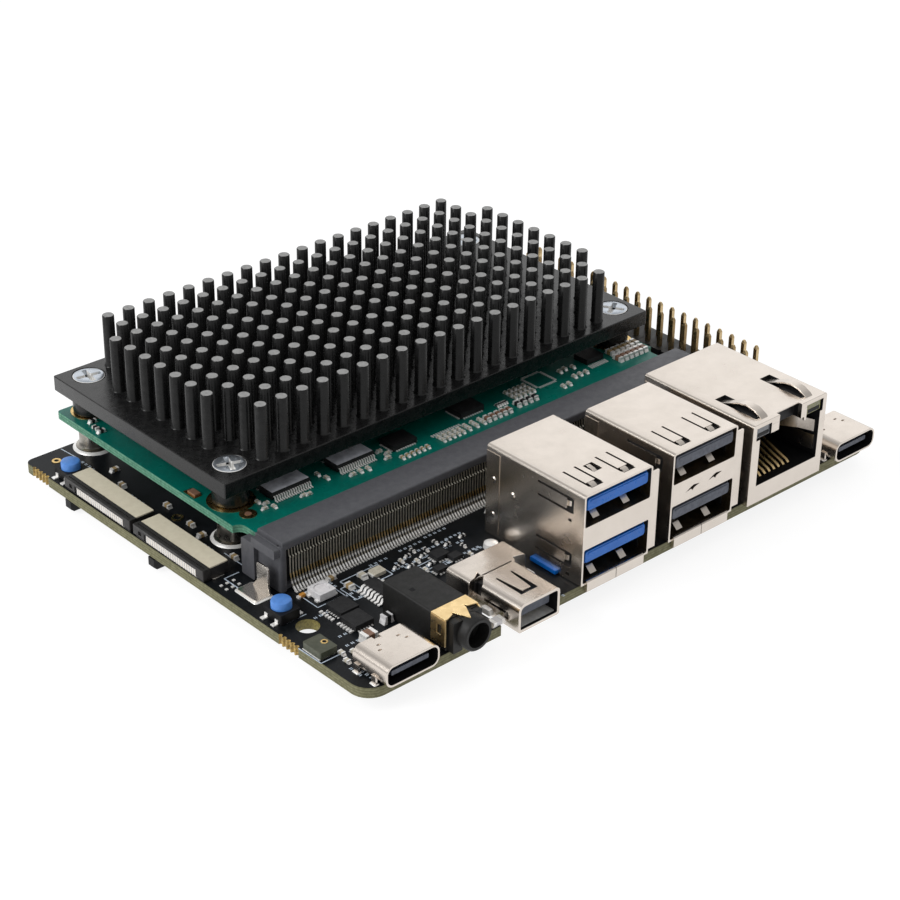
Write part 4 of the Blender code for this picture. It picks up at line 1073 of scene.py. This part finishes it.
def display_port():
    left, right, front, low, top = -25.1, -17.6, -39.6, 3.05, 7.35
    wide_left, wide_right, mid, back = -26.0, -15.4, -31.1, -26.4  # the rear cover, which starts at mid
    base, middle, wall = BOARD_TOP + LIFT, (left + right) / 2, 0.42
    shell = Shape(NICKEL).prism(rounded(left, right, low, top, (0.7, 1.1, 0.4, 0.4), 6), front, mid + 0.3, "Y")
    mouth = rounded(left + wall, right - wall, low + wall, top - wall, (0.4, 0.75, 0.2, 0.2))
    shell.cut_prism(mouth, front - 1, mid - 0.6, "Y")

    # Faces inside the mouth, and those facing out deep within it, take the black plastic: painted shade
    def choose(p, n):
        inward = n.x * (p.x - middle) + n.z * (p.z - 5.2) < -0.01
        return PORT_BLACK_AND_PAINTED_SHADE if inward or p.y > front + 8 and n.y < -0.5 else None

    shell.paint(choose)
    for side in SIDES:  # the spring of the roof narrows towards its free end
        slit = [(middle + side * x, front + y) for x, y in ((1.2, 6.9), (1.5, 6.9), (1.5, 2.2), (0.75, 2.2))]
        shell.cut_prism(slit, top - 0.6, top + 0.5)
    shell.cut_box(middle - 1.5, middle + 1.5, front + 1.9, front + 2.5, top - 0.6, top + 0.5)
    shell.cut_box(left - 0.5, left + 0.6, front + 2.3, front + 6.6, 5.05, 5.45)
    shell.cut_box(left - 0.5, left + 0.6, front + 2.0, front + 2.7, 4.3, 5.45)
    notch = ((-0.5, 0.4), (1.7, 0.1), (0.35, -1.2), (-0.5, -1.4))
    shell.cut_prism([(left + x, mid + y) for x, y in notch], 5.4, top + 1)
    shell.use(PORT_BLACK_AND_PAINTED_SHADE).box(left + 0.45, left + 2.4, mid - 1.7, mid + 0.2, low + 0.5, top - 0.5)
    shell.use(SOLDER_AND_PAINTED_HIGHLIGHT).box(middle - 0.4, middle + 0.4, front + 2.5, front + 3.3, top - 0.22, top - 0.02)
    name = "display_port_shell_drawn"
    shell.finish(name, ["display_port_shell"], bevel=0.05, smooth=40, slot="nickel_silver")

    rear = Shape(NICKEL).prism(rounded(wide_left, wide_right, base, top, (0.4, 0.6, 0, 0), 4), mid, back, "Y")
    notch = [(wide_left - 0.5, mid - 0.4), (wide_left - 0.5, mid + 0.15)]
    notch += [(left + 0.2, mid + 0.3), (left + 1.5, mid + 1.1), (left + 1.2, mid - 0.4)]
    rear.cut_prism(notch, top - 2.4, top + 1)
    notch = [(right - 0.2, mid - 0.4), (right + 0.2, mid + 0.9)]
    notch += [(wide_right + 0.4, mid + 0.3), (wide_right + 0.4, mid - 0.4)]
    rear.cut_prism(notch, base + 1.0, top + 1)
    rear.use(PORT_BLACK_AND_PAINTED_SHADE).box(left + 0.1, right - 0.1, mid - 0.1, back - 0.6, base, top - 0.5)
    rear.use(SOLDER_AND_PAINTED_HIGHLIGHT)
    for x0, x1, y0, y1, height in (
        (wide_left - 0.9, wide_left + 0.2, mid - 1.0, mid + 1.0, 0.5),
        (wide_right - 0.2, wide_right + 0.9, mid - 1.0, mid + 1.0, 0.5),
        (left - 1.1, left - 0.1, front + 4.4, front + 6.4, 0.8),
    ):
        rear.prism(rounded(x0, x1, y0, y1, 0.3, 3), BOARD_TOP, BOARD_TOP + height, shrink=0.25)
    rear.finish("display_port_cover", bevel=0.08, smooth=40)

    blade = rounded(left + 1.1, right - 1.1, 4.9, 6.4, 0.15, 3)
    tongue = Shape(SLATE).prism(blade, front + 0.9, mid - 0.7, "Y")
    tongue.use(GOLD)
    for i in range(10):
        x = middle + (i - 4.5) * 0.42
        tongue.box(x - 0.1, x + 0.1, front + 1.4, mid - 1.4, 4.84, 4.92)
    tongue.use(SHELF_GREY).box(left + 0.45, right - 0.45, front + 0.5, mid - 1, low + 0.42, low + 0.5)
    tongue.finish("display_port_tongue_moulded", ["display_port_tongue"], slot="port_black_plastic")


def audio_jack():
    _, _, rim, back, base, roof = sides("audio_jack_body")
    _, _, clip_front, clip_back, _, _ = sides("audio_jack_clip")
    left, right = -36.2, -30.2
    nose = (-32.7, (base + roof) / 2)
    outline = rounded(left, right, base, roof, (0.3, 0.3, 0.1, 0.1), 4)
    body = Shape(JACK_BLACK).prism(outline, clip_back + 0.05, back, "Y")
    outline = rounded(left + 0.25, right - 0.25, base, roof - 0.25, 0.15, 3)
    body.prism(outline, clip_front + 0.3, clip_back + 0.2, "Y")
    for x, y in ((left + 0.55, -38.6), (right - 1.75, -38.2)):  # the two ears in front of the clip
        body.prism(rounded(x, x + 1.6, base, 8.75, 0.12, 2), y, y + 1.3, "Y")
    body.prism(circle(2.45, 40, nose), clip_front - 0.35, clip_front + 0.6, "Y")
    profile = [(1.8, rim), (2.2, rim), (2.4, rim + 0.25), (2.4, clip_front), (1.8, clip_front), (1.8, rim)]
    body.turned(profile, 48, nose, "Y")
    # a near-black disc that closes the bore: painted shade deep in the bore
    body.use(RECESS_PAINTED_SHADE).disc(1.8, rim + 2.2, rim + 2.3, 32, nose, "Y")
    body.box(left + 1.2, left + 1.9, back - 4.4, back - 3.7, roof - 0.01, roof + 0.02)
    body.finish("audio_jack_housing", ["audio_jack_body"], bevel=0.05, smooth=40, slot="matte_black_nylon")

    zigzag = ((0, 0.1), (0.5, 0.1), (1.7, 0.55), (1.85, 1.0), (2.1, 0.4))
    zigzag += ((3.0, -1.5), (4.15, 0.7), (4.3, 1.4), (4.5, 0.8))
    roof_plate = [(left + x, clip_front + y) for x, y in zigzag]
    roof_plate = [(left, clip_back), *roof_plate, (right, clip_front + 0.4), (right, clip_back)]
    clip = Shape(BRASS).prism(roof_plate, roof - 0.22, roof + 0.02)
    wall_limits = (clip_front + 0.1, clip_back, base + 0.8, roof - 0.2)
    clip.box(right - 0.23, right + 0.02, *wall_limits)
    clip.finish("audio_jack_spring", ["audio_jack_clip"], bevel=0.05, slot="brass")
    wall = Shape(BRASS).box(left - 0.02, left + 0.23, *wall_limits)
    wall.cut_box(left - 1, left + 1, clip_front + 0.9, clip_front + 1.7, 6.5, 7.9)
    wall.finish("audio_jack_spring_wall", bevel=0.03)


# ---------------------------------------------------------------- side connectors and small parts with bodies


HEADER_X, HEADER_Y, HEADER_PITCH, HEADER_COLUMNS, HEADER_ROWS = 46.18, 7.7, 2.54, 2, 20
CABLE_LEFT, CABLE_SPLIT, CABLE_RIGHT = -49.95, -48.7, -45.5  # the latch lies left of the split
CABLE_LENGTH, CABLE_TOP, CABLE_CONTACTS = 16.3, 6.1, 22


def pin_header():
    base_top, tip = 6.5, 12.5
    pitch = HEADER_PITCH
    header = Shape(HEADER_BLACK)
    for row in range(HEADER_ROWS):
        y = HEADER_Y + (row - (HEADER_ROWS - 1) / 2) * pitch
        block = rounded(HEADER_X - pitch, HEADER_X + pitch, y - pitch / 2, y + pitch / 2, 0.36, 1)
        header.use(HEADER_BLACK).prism(block, BOARD_TOP + LIFT, base_top)
        header.use(PIN_GOLD)
        for column in range(HEADER_COLUMNS):
            x = HEADER_X + (column - 0.5) * pitch
            square = rounded(x - 0.32, x + 0.32, y - 0.32, y + 0.32, 0)
            header.prism(square, base_top - 0.1, tip - 0.45)
            header.prism(square, tip - 0.45, tip, shrink=0.5)
            header.prism(square, 2.6, BOARD_TOP)
    header.finish("pin_header_strip", ["pin_header"], bevel=0.03, slot="header_black_plastic")


def cable_socket(which, y):
    """A dark body under a cream plate, with a row of contacts behind the latch's window."""
    left, split, right, top = CABLE_LEFT, CABLE_SPLIT, CABLE_RIGHT, CABLE_TOP
    front, back = y - CABLE_LENGTH / 2, y + CABLE_LENGTH / 2
    base = BOARD_TOP + LIFT
    body = Shape(LATCH)
    body.prism(rounded(split, right, front + 0.3, back - 0.3, 0.12, 2), base, top - 0.28)
    body.prism(rounded(left + 0.25, split + 0.1, front + 0.3, back - 0.3, 0.1, 2), base, base + 0.14)
    plate = rounded(split + 0.02, right, front + 0.35, back - 0.1, 0.12, 2)
    body.use(CREAM).prism(plate, top - 0.3, top - 0.08)
    body.use(SHELF_GREY).box(left + 0.3, split + 0.1, front + 1.75, back - 2.65, base + 0.1, base + 1.35)
    body.use(TIN)
    for i in range(CABLE_CONTACTS):
        along = front + 1.85 + (CABLE_LENGTH - 4.6) * (i + 0.5) / CABLE_CONTACTS
        body.box(left + 0.22, left + 0.4, along - 0.12, along + 0.12, base + 0.15, base + 1.25)
        body.box(right - 0.1, right + 0.75, along - 0.13, along + 0.13, BOARD_TOP, BOARD_TOP + 0.14)
    for end in (front - 0.1, back - 1.3):
        body.prism(rounded(left + 1.6, left + 3.6, end, end + 1.4, 0.2, 3), BOARD_TOP, BOARD_TOP + 0.3)
    body.finish(f"cable_socket_{which}_body", [f"cable_socket_{which}"], bevel=0.04, slot="cream_plastic")


def cable_latch(which):
    name = f"cable_latch_{which}"
    left, right, front, back, bottom, top = sides(name)
    latch = Shape(LATCH).prism(rounded(left, CABLE_SPLIT, front, back, 0.12, 3), max(bottom, 4.6), top)
    latch.cut_box(left - 1, CABLE_SPLIT + 1, front + 1.7, back - 2.6, 4.0, 5.6)
    latch.cut_box(left + 0.5, left + 0.68, front + 0.5, back - 0.5, top - 0.15, top + 1)
    latch.cut_box(left - 1, left + 0.2, back - 2.0, back - 1.3, 4.9, 5.5)
    for low, high in ((front, front + 0.8), (back - 0.8, back)):
        latch.prism(rounded(CABLE_SPLIT - 0.1, right, low, high, 0.12, 2), 5.1, top)
    latch.finish(f"{name}_lever", [name], body=name, bevel=0.05, slot="latch_dark_plastic")


def button(which):
    switch_name, cap_name = f"button_switch_{which}", f"button_cap_{which}"
    left, right, front, back, _, rim = sides(switch_name)
    cap_left, cap_right, _, _, bottom, top = sides(cap_name)
    x, y = centre(switch_name)
    half, radius, base = (right - left) / 2, (cap_right - cap_left) / 2, BOARD_TOP + LIFT
    switch = Shape(PORT_BLACK_AND_PAINTED_SHADE).prism(rounded(left, right, front, back, 0.3, 3), base, rim)
    switch.cut_prism(circle(radius + 0.08, 40, (x, y)), bottom - 0.4, rim + 1)
    switch.use(SOLDER_AND_PAINTED_HIGHLIGHT)
    for side in SIDES:
        for along in (y - 1.1, y + 1.1):
            foot = (x + side * half, x + side * (half + 0.85))
            switch.box(*foot, along - 0.35, along + 0.35, BOARD_TOP, BOARD_TOP + 0.2)
            lead = (x + side * (half - 0.05), x + side * (half + 0.14))
            switch.box(*lead, along - 0.32, along + 0.32, BOARD_TOP + 0.1, base + 0.6)
    switch.finish(f"{switch_name}_case", [switch_name], bevel=0.03, slot="button_black_plastic")

    dome = [(0, bottom), (radius, bottom), (radius, top - 0.28)]
    dome += [(radius - 0.1, top - 0.08), (radius - 0.3, top), (0, top)]
    cap = Shape(CAP_BLUE).turned(dome, 48, centre(cap_name))
    cap.finish(f"{cap_name}_moulded", [cap_name], body=cap_name, smooth=40, slot="button_blue_plastic")


def left_edge_parts():
    x, y = centre("status_lamp")
    top = sides("status_lamp")[5]
    lamp = Shape(WHITE).prism(rounded(x - 1.4, x + 1.4, y - 1.4, y + 1.4, 0.15, 2), BOARD_TOP + LIFT, top)
    lamp.cut_prism(circle(1.05, 32, (x, y)), top - 0.35, top + 1)
    lens = [(0, top - 0.36), (1.03, top - 0.36), (1.03, top - 0.1), (0, top - 0.06)]
    lamp.use(LENS).turned(lens, 32, (x, y)).use(SOLDER_AND_PAINTED_HIGHLIGHT)
    for side in SIDES:
        for along in (y - 0.9, y + 0.9):
            foot = (x + side * 1.3, x + side * 1.75)
            lamp.box(*foot, along - 0.35, along + 0.35, BOARD_TOP, BOARD_TOP + 0.3)
    lamp.finish("status_lamp_package", ["status_lamp"], bevel=0.04, slot="lamp_white")

    for node in ("power_chip_front", "power_chip_rear"):
        left, right, front, back, _, top = sides(node)
        chip = Shape(CHIP)
        flat_chip(chip, *centre(node), right - left, back - front, top - BOARD_TOP, BOARD_TOP, pads=6)
        chip.finish(f"{node}_package", [node], bevel=0.05, slot="chip_black")

    left, right, front, back, _, top = sides("microphone")
    x, y = centre("microphone")
    outline = rounded(left + 0.12, right - 0.12, front + 0.12, back - 0.12, 0.2, 3)
    lid = Shape(MIC_OLIVE).prism(outline, BOARD_TOP + LIFT, top)
    lid.use(GOLD).ring(0.28, 0.5, top, top + 0.03, 24, (x + 0.7, y))
    # a near-black disc inside the gold ring: painted shade in the sound hole
    lid.use(RECESS_PAINTED_SHADE).disc(0.28, top + 0.005, top + 0.01, 24, (x + 0.7, y))
    lid.use(SOLDER_AND_PAINTED_HIGHLIGHT).box(left, right, front + 0.2, back - 0.2, BOARD_TOP, BOARD_TOP + 0.12)
    lid.finish("microphone_lid", ["microphone"], bevel=0.04, slot="microphone_olive")

    left, right, front, back, _, top = sides("ceramic_capacitor")
    part = Shape(CAP_BROWN)
    passive(part, *centre("ceramic_capacitor"), (right - left, back - front, top - BOARD_TOP), BOARD_TOP)
    part.finish("ceramic_capacitor_stack", ["ceramic_capacitor"], bevel=0.04, slot="capacitor_brown")


# Small parts on the carrier board that are told apart in the photo: x, y, size, whether turned, body and ends
CARRIER_PARTS = (
    (-37.1, -27.2, (1.3, 1.1, 1.2), 0, CHIP, WHITE),
    (-36.2, -14.6, (1.3, 0.7, 0.5), 0, CAP_TAN, SOLDER_AND_PAINTED_HIGHLIGHT),
    (-35.5, -17.7, (1.2, 0.9, 0.6), 1, CAP_TAN, SOLDER_AND_PAINTED_HIGHLIGHT),
    (-32.6, -16.9, (1.2, 0.9, 0.6), 1, CAP_CREAM, SOLDER_AND_PAINTED_HIGHLIGHT),
    (-26.5, -36.9, (2.0, 1.2, 0.7), 0, WHITE, SOLDER_AND_PAINTED_HIGHLIGHT),
)
# Alike parts beside the flat-cable sockets: x, y and whether turned
TAN_PARTS = (
    (-42.8, -1.8, 1), (-43.3, 24.2, 1), (-41.6, 28.6, 0), (-42.2, 9.0, 1), (-42.8, 5.7, 0), (-41.7, 15.3, 1),
)
# The crowd of tiny parts behind the display port
CLUSTER = (
    (-27.6, -18.2), (-26.1, -17.4), (-24.6, -17.0), (-23.2, -16.4), (-25.9, -19.2), (-24.4, -18.8), (-22.9, -18.3),
    (-21.6, -17.4), (-26.6, -20.9), (-25.0, -21.2), (-23.4, -20.6), (-19.4, -16.8), (-18.4, -18.3), (-17.7, -22.3),
    (-16.0, -23.2), (-17.0, -20.0), (-15.4, -18.0), (-19.6, -23.6),
)


def carrier_small_parts():
    """Loose parts that stand on the carrier board."""
    level = BOARD_TOP
    parts = Shape(CHIP).box(-34.3, -32.3, -24.0, -19.2, level + 0.15, level + 1.1)
    parts.use(SOLDER_AND_PAINTED_HIGHLIGHT)
    for i in range(7):
        y = -19.5 - 0.7 * i
        for edge, side in ((-34.3, -1), (-32.3, 1)):
            bends = ((0, 0.75), (0.45, 0.7), (0.75, 0.15), (1.3, 0.12))
            parts.leaf([(edge + side * out, level + z) for out, z in bends], 0.17, y - 0.2, y + 0.2, "Y")
    for x, y, size, turn, body, ends in CARRIER_PARTS:
        passive(parts, x, y, size, level, turn, body, ends)
    parts.use(CAP_CREAM).prism(rounded(-31.4, -29.4, -18.2, -16.6, 0.2, 3), level, level + 0.5)
    parts.use(SOLDER_AND_PAINTED_HIGHLIGHT).prism(rounded(-31.7, -31.2, -18.0, -16.8, 0.1, 2), level, level + 0.3)
    for x, y, turn in TAN_PARTS:
        passive(parts, x, y, (1.2, 0.7, 0.55), level, turn, CAP_TAN)
    parts.use(GOLD)
    for place, radius in (((-42.4, 12.0), 0.9), ((-46.4, 36.6), 0.7)):
        parts.ring(radius - 0.35, radius, level, level + 0.1, 24, place)
    for i, (x, y) in enumerate(CLUSTER):
        passive(parts, x, y, (0.8, 0.4, 0.35), level, i % 2, CAP_CREAM if i % 4 == 1 else CHIP)
    flat_chip(parts, -21.4, -19.9, 2.3, 1.9, 0.8, level, pads=4)
    flat_chip(parts, -20.0, -21.6, 1.7, 1.4, 0.7, level, pads=3)
    flat_chip(parts, -23.6, -22.6, 1.8, 1.3, 0.7, level, pads=3)
    for i in range(7):
        passive(parts, -8 + 5.2 * i, -15.6, (1.1, 0.6, 0.5), level, i % 2, CAP_TAN)
    blob = [(0, level), (1.1, level), (1.0, level + 0.7), (0.6, level + 0.95), (0, level + 1.0)]
    parts.use(SOLDER_AND_PAINTED_HIGHLIGHT).turned(blob, 24, (-14.2, -22.6))
    parts.use(AMBER).prism(rounded(-42.1, -41.3, -15.6, -15.0, 0.1, 2), level + 0.05, level + 0.45)
    parts.use(SOLDER_AND_PAINTED_HIGHLIGHT)
    for x in (-42.3, -41.1):
        parts.box(x - 0.18, x + 0.18, -15.6, -15.0, level, level + 0.3)
    for first in (-19.9, -23.6):
        for i in range(5):
            parts.pad(-42.2, first - 0.6 * i, 0.25, 0.17, level, level + 0.22)
    for x, y in ((-46.2, -29.0), (-44.9, -29.8), (-46.8, -30.8), (-45.4, -31.6)):
        passive(parts, x, y, (0.9, 0.55, 0.45), level, 1, CAP_CREAM)
    for x in (-48.3, -47.3, -46.2):
        for y in (-7.4, -6.2):
            parts.pad(x, y, 0.2, 0.2, level, level + 0.12)
    parts.finish("carrier_small_parts")


TICK_LENGTH = 0.42
# Lines printed on the carrier board, from x and y to x and y
PRINTED_LINES = (
    (-47.2, -18.9, -43.9, -18.9), (-46.9, -5.0, -46.9, -8.1), (-46.9, -5.0, -44.4, -5.0), (-43.0, 0.2, -43.0, -3.9),
    (-36.6, -29.6, -36.5, -34.9), (-49.6, -24.4, -49.5, -28.9), (-49.5, -28.9, -46.0, -28.9), (-43.9, 39.2, -43.6, 35.6),
)
# Printed frames: the middle and the two sizes
PRINTED_FRAMES = (
    (-39.5, -16.7, 4.6, 4.0), (-32.3, -17.4, 6.6, 3.2), (-23.9, -20.5, 5.6, 1.6), (-35.6, -18.9, 2.2, 3.4),
    (HEADER_X, HEADER_Y, 5.9, 51.6),
)
# Runs of ticks: x, y, how many and whether they run to the back
PRINTED_TICKS = (
    (-38.2, -19.2, 4, 0), (-36.9, -20.6, 3, 0), (-44.0, -26.0, 3, 0), (-43.7, -20.6, 3, 0), (-44.6, -28.2, 4, 0),
    (-41.6, -27.9, 3, 0), (-46.6, -10.0, 3, 0), (-28.8, -20.9, 6, 0), (-29.4, -22.3, 5, 0), (-28.2, -24.1, 4, 0),
    (-22.4, -24.8, 5, 0), (-18.6, -25.2, 3, 0), (-44.0, 18.4, 4, 1), (-43.9, 31.0, 4, 1), (-44.0, 1.8, 3, 1),
    (-24.5, -15.4, 5, 0), (-30.0, -15.6, 4, 0), (-19.6, -15.0, 5, 0), (-47.6, -34.2, 3, 1), (-46.9, -35.6, 4, 1),
    (-37.0, -16.3, 2, 1), (-39.8, -31.0, 3, 0), (-15.4, -38.0, 3, 1), (-16.2, -36.2, 3, 1),
)
# The crowded stretch between the module connector and the display port: the first and last x of each row
CROWDED_ROWS = ((-27.0, -17.0), (-28.5, -16.5), (-30.0, -21.0), (-25.5, -15.5), (-22.0, -15.0))


def tick_marks(shape, x, y, count, turn=0, size=0.55, gap=0.34):
    """A short run of printed ticks, two to a letter's size, in place of a printed word."""
    for i in range(2 * count):
        along = i // 2 * (size + gap) + i % 2 * 0.5 * size
        if turn:
            silk(shape, x, y + along, x + TICK_LENGTH, y + along, 0.13)
        else:
            silk(shape, x + along, y, x + along, y + TICK_LENGTH, 0.13)


def carrier_print():
    """Outlines printed in white on the carrier board, and ticks in place of the words of a real print."""
    lines = Shape(SILK)
    for ends in PRINTED_LINES:
        silk(lines, *ends)
    for frame_limits in PRINTED_FRAMES:
        silk_frame(lines, *frame_limits)
    for run in PRINTED_TICKS:
        tick_marks(lines, *run)
    for row, (x, stop) in enumerate(CROWDED_ROWS):
        while x < stop:
            y = -17.3 - 1.55 * row + chance.uniform(-0.35, 0.35)
            tick_marks(lines, x, y, chance.randrange(2, 5), size=0.5, gap=0.3)
            x += chance.uniform(1.5, 2.3)
    lines.finish("carrier_print")


def card_socket():
    left, right, front, back, bottom, top = sides("card_socket")
    shell_left = -46.4
    socket = Shape(NICKEL).prism(rounded(shell_left, right, front + 0.6, back - 0.6, 0.5, 4), bottom, top)
    socket.cut_box(-47, -40.6, front + 1.2, back - 1.2, 0.35, 1.95)

    # Inner walls of the card slot take the darker nickel: painted shade
    def choose(p, normal):
        inside = -46.3 < p.x < -40.7 and 0.3 < p.z < 2.0 and front + 1.3 < p.y < back - 1.3
        return NICKEL_PAINTED_SHADE if inside and normal.x ** 2 + normal.y ** 2 > 0.5 else None

    socket.paint(choose).use(PORT_BLACK_AND_PAINTED_SHADE)
    lug_right = shell_left + 0.4
    hook = [(left, 2.2), (left, 0.9), (left + 0.5, 0.45), (lug_right, 0.45), (lug_right, 2.2)]
    for low, high in ((front, front + 1.4), (back - 1.4, back)):
        socket.prism(hook, low, high, "Y")
    socket.box(lug_right, right - 0.5, front + 1.4, back - 1.4, 1.3, 1.9)
    socket.finish("card_socket_cover", ["card_socket"], bevel=0.06, slot="nickel_silver")


def build_all():
    carrier_board()
    module_board()
    module_pads()
    module_small_parts()
    hidden_chips()
    heat_sink()
    screws()
    spacers()
    connector_cover()
    connector_contacts()
    connector_clips()
    usb_stack("usb3", -12.1, 0.9, -38.1, -19.2, 18.2, BLUE)
    usb_stack("usb2", 5.0, 18.1, -38.1, -21.1, 18.2, SLATE)
    ethernet()
    usb_c("left", -42.7)
    usb_c("right", 44.3)
    display_port()
    audio_jack()
    pin_header()
    for which, y in (("front", 3.75), ("rear", 20.85)):
        cable_socket(which, y)
        cable_latch(which)
    for which in ("front", "rear"):
        button(which)
    left_edge_parts()
    carrier_small_parts()
    carrier_print()
    card_socket()


build_all()


# ---------------------------------------------------------------- floor, light and camera


VIEW_AZIMUTH, VIEW_ELEVATION = math.radians(-42.387), math.radians(29.578)
VIEW_ACROSS = Vector((math.cos(VIEW_AZIMUTH), math.sin(VIEW_AZIMUTH), 0))


def outward(azimuth, elevation):
    """Direction from the object to a viewer or a lamp. Azimuth 0 is the front, and angles are in radians."""
    flat = math.cos(elevation)
    return Vector((math.sin(azimuth) * flat, -math.cos(azimuth) * flat, math.sin(elevation)))


def backdrop():
    """A pale floor that curves up into a wall behind the object, and glows a little, as a lit table does."""
    finish = surface("pale_floor", (0.22, 0.22, 0.221), (0.215, 0.215, 0.216), 0.85, 60, specular=0.1)
    glow = finish.node_tree.nodes["Principled BSDF"]
    glow.inputs["Emission Color"].default_value = (1, 1, 1, 1)
    glow.inputs["Emission Strength"].default_value = 0.86
    half, wall, bend = 3000, 2500, 500
    arc = [math.radians(10 * step) for step in range(1, 10)]
    curve = [(half - bend + bend * math.sin(a), bend - bend * math.cos(a)) for a in arc]
    away = -outward(VIEW_AZIMUTH, 0)
    grid = bmesh.new()
    rows = []
    for along, height in [(-half, 0), (half - bend, 0), *curve, (half, wall)]:
        ends = [away * along + VIEW_ACROSS * side * half + Vector((0, 0, height - 0.05)) for side in SIDES]
        rows.append([grid.verts.new(end * MM) for end in ends])
    for first, second in zip(rows, rows[1:]):
        grid.faces.new((first[0], first[1], second[1], second[0]))
    data = bpy.data.meshes.new("floor")
    grid.to_mesh(data)
    grid.free()
    data.materials.append(finish)
    data.shade_smooth()
    floor_piece = bpy.data.objects.new("floor", data)
    bpy.context.scene.collection.objects.link(floor_piece)


def soft_light(name, azimuth, elevation, distance, size, radiance):
    """A square panel that faces the object from a direction, by its radiance."""
    data = bpy.data.lights.new(name, "AREA")
    data.shape = "RECTANGLE"
    data.size, data.size_y = size[0] * MM, size[1] * MM
    data.energy = radiance * math.pi * data.size * data.size_y
    lamp = bpy.data.objects.new(name, data)
    back = outward(math.radians(azimuth), math.radians(elevation))
    lamp.location = (Vector((0, 0, 10)) + back * distance) * MM
    lamp.rotation_mode = "QUATERNION"
    lamp.rotation_quaternion = back.to_track_quat("Z", "Y")
    bpy.context.scene.collection.objects.link(lamp)


def lighting():
    world = bpy.data.worlds.new("studio")
    world.use_nodes = True
    world.node_tree.nodes["Background"].inputs["Color"].default_value = (1.0, 1.0, 1.0, 1)
    world.node_tree.nodes["Background"].inputs["Strength"].default_value = 0.5
    bpy.context.scene.world = world
    soft_light("key", -104, 34, 600, (300, 340), 7.0)
    soft_light("overhead", 20, 82, 700, (500, 500), 0.7)
    soft_light("rear_panel", 137, 36, 1600, (2600, 1400), 0.26)
    bpy.context.scene.view_settings.view_transform = "Standard"


def camera():
    """The camera solved from the photo."""
    data = bpy.data.cameras.new("camera")
    data.lens, data.sensor_width = 87.72, 36.0
    data.clip_start, data.clip_end = 0.01, 20.0
    view = bpy.data.objects.new("camera", data)
    roll = math.asin(0.01227 / math.cos(VIEW_ELEVATION))
    back = outward(VIEW_AZIMUTH, VIEW_ELEVATION)
    right = VIEW_ACROSS * math.cos(roll) + back.cross(VIEW_ACROSS) * math.sin(roll)
    turn = Matrix((right, back.cross(right), back)).transposed().to_4x4()
    view.matrix_world = Matrix.Translation(Vector((-192.0, -208.74, 165.37)) * MM) @ turn
    bpy.context.scene.collection.objects.link(view)
    bpy.context.scene.camera = view


backdrop()
lighting()
camera()
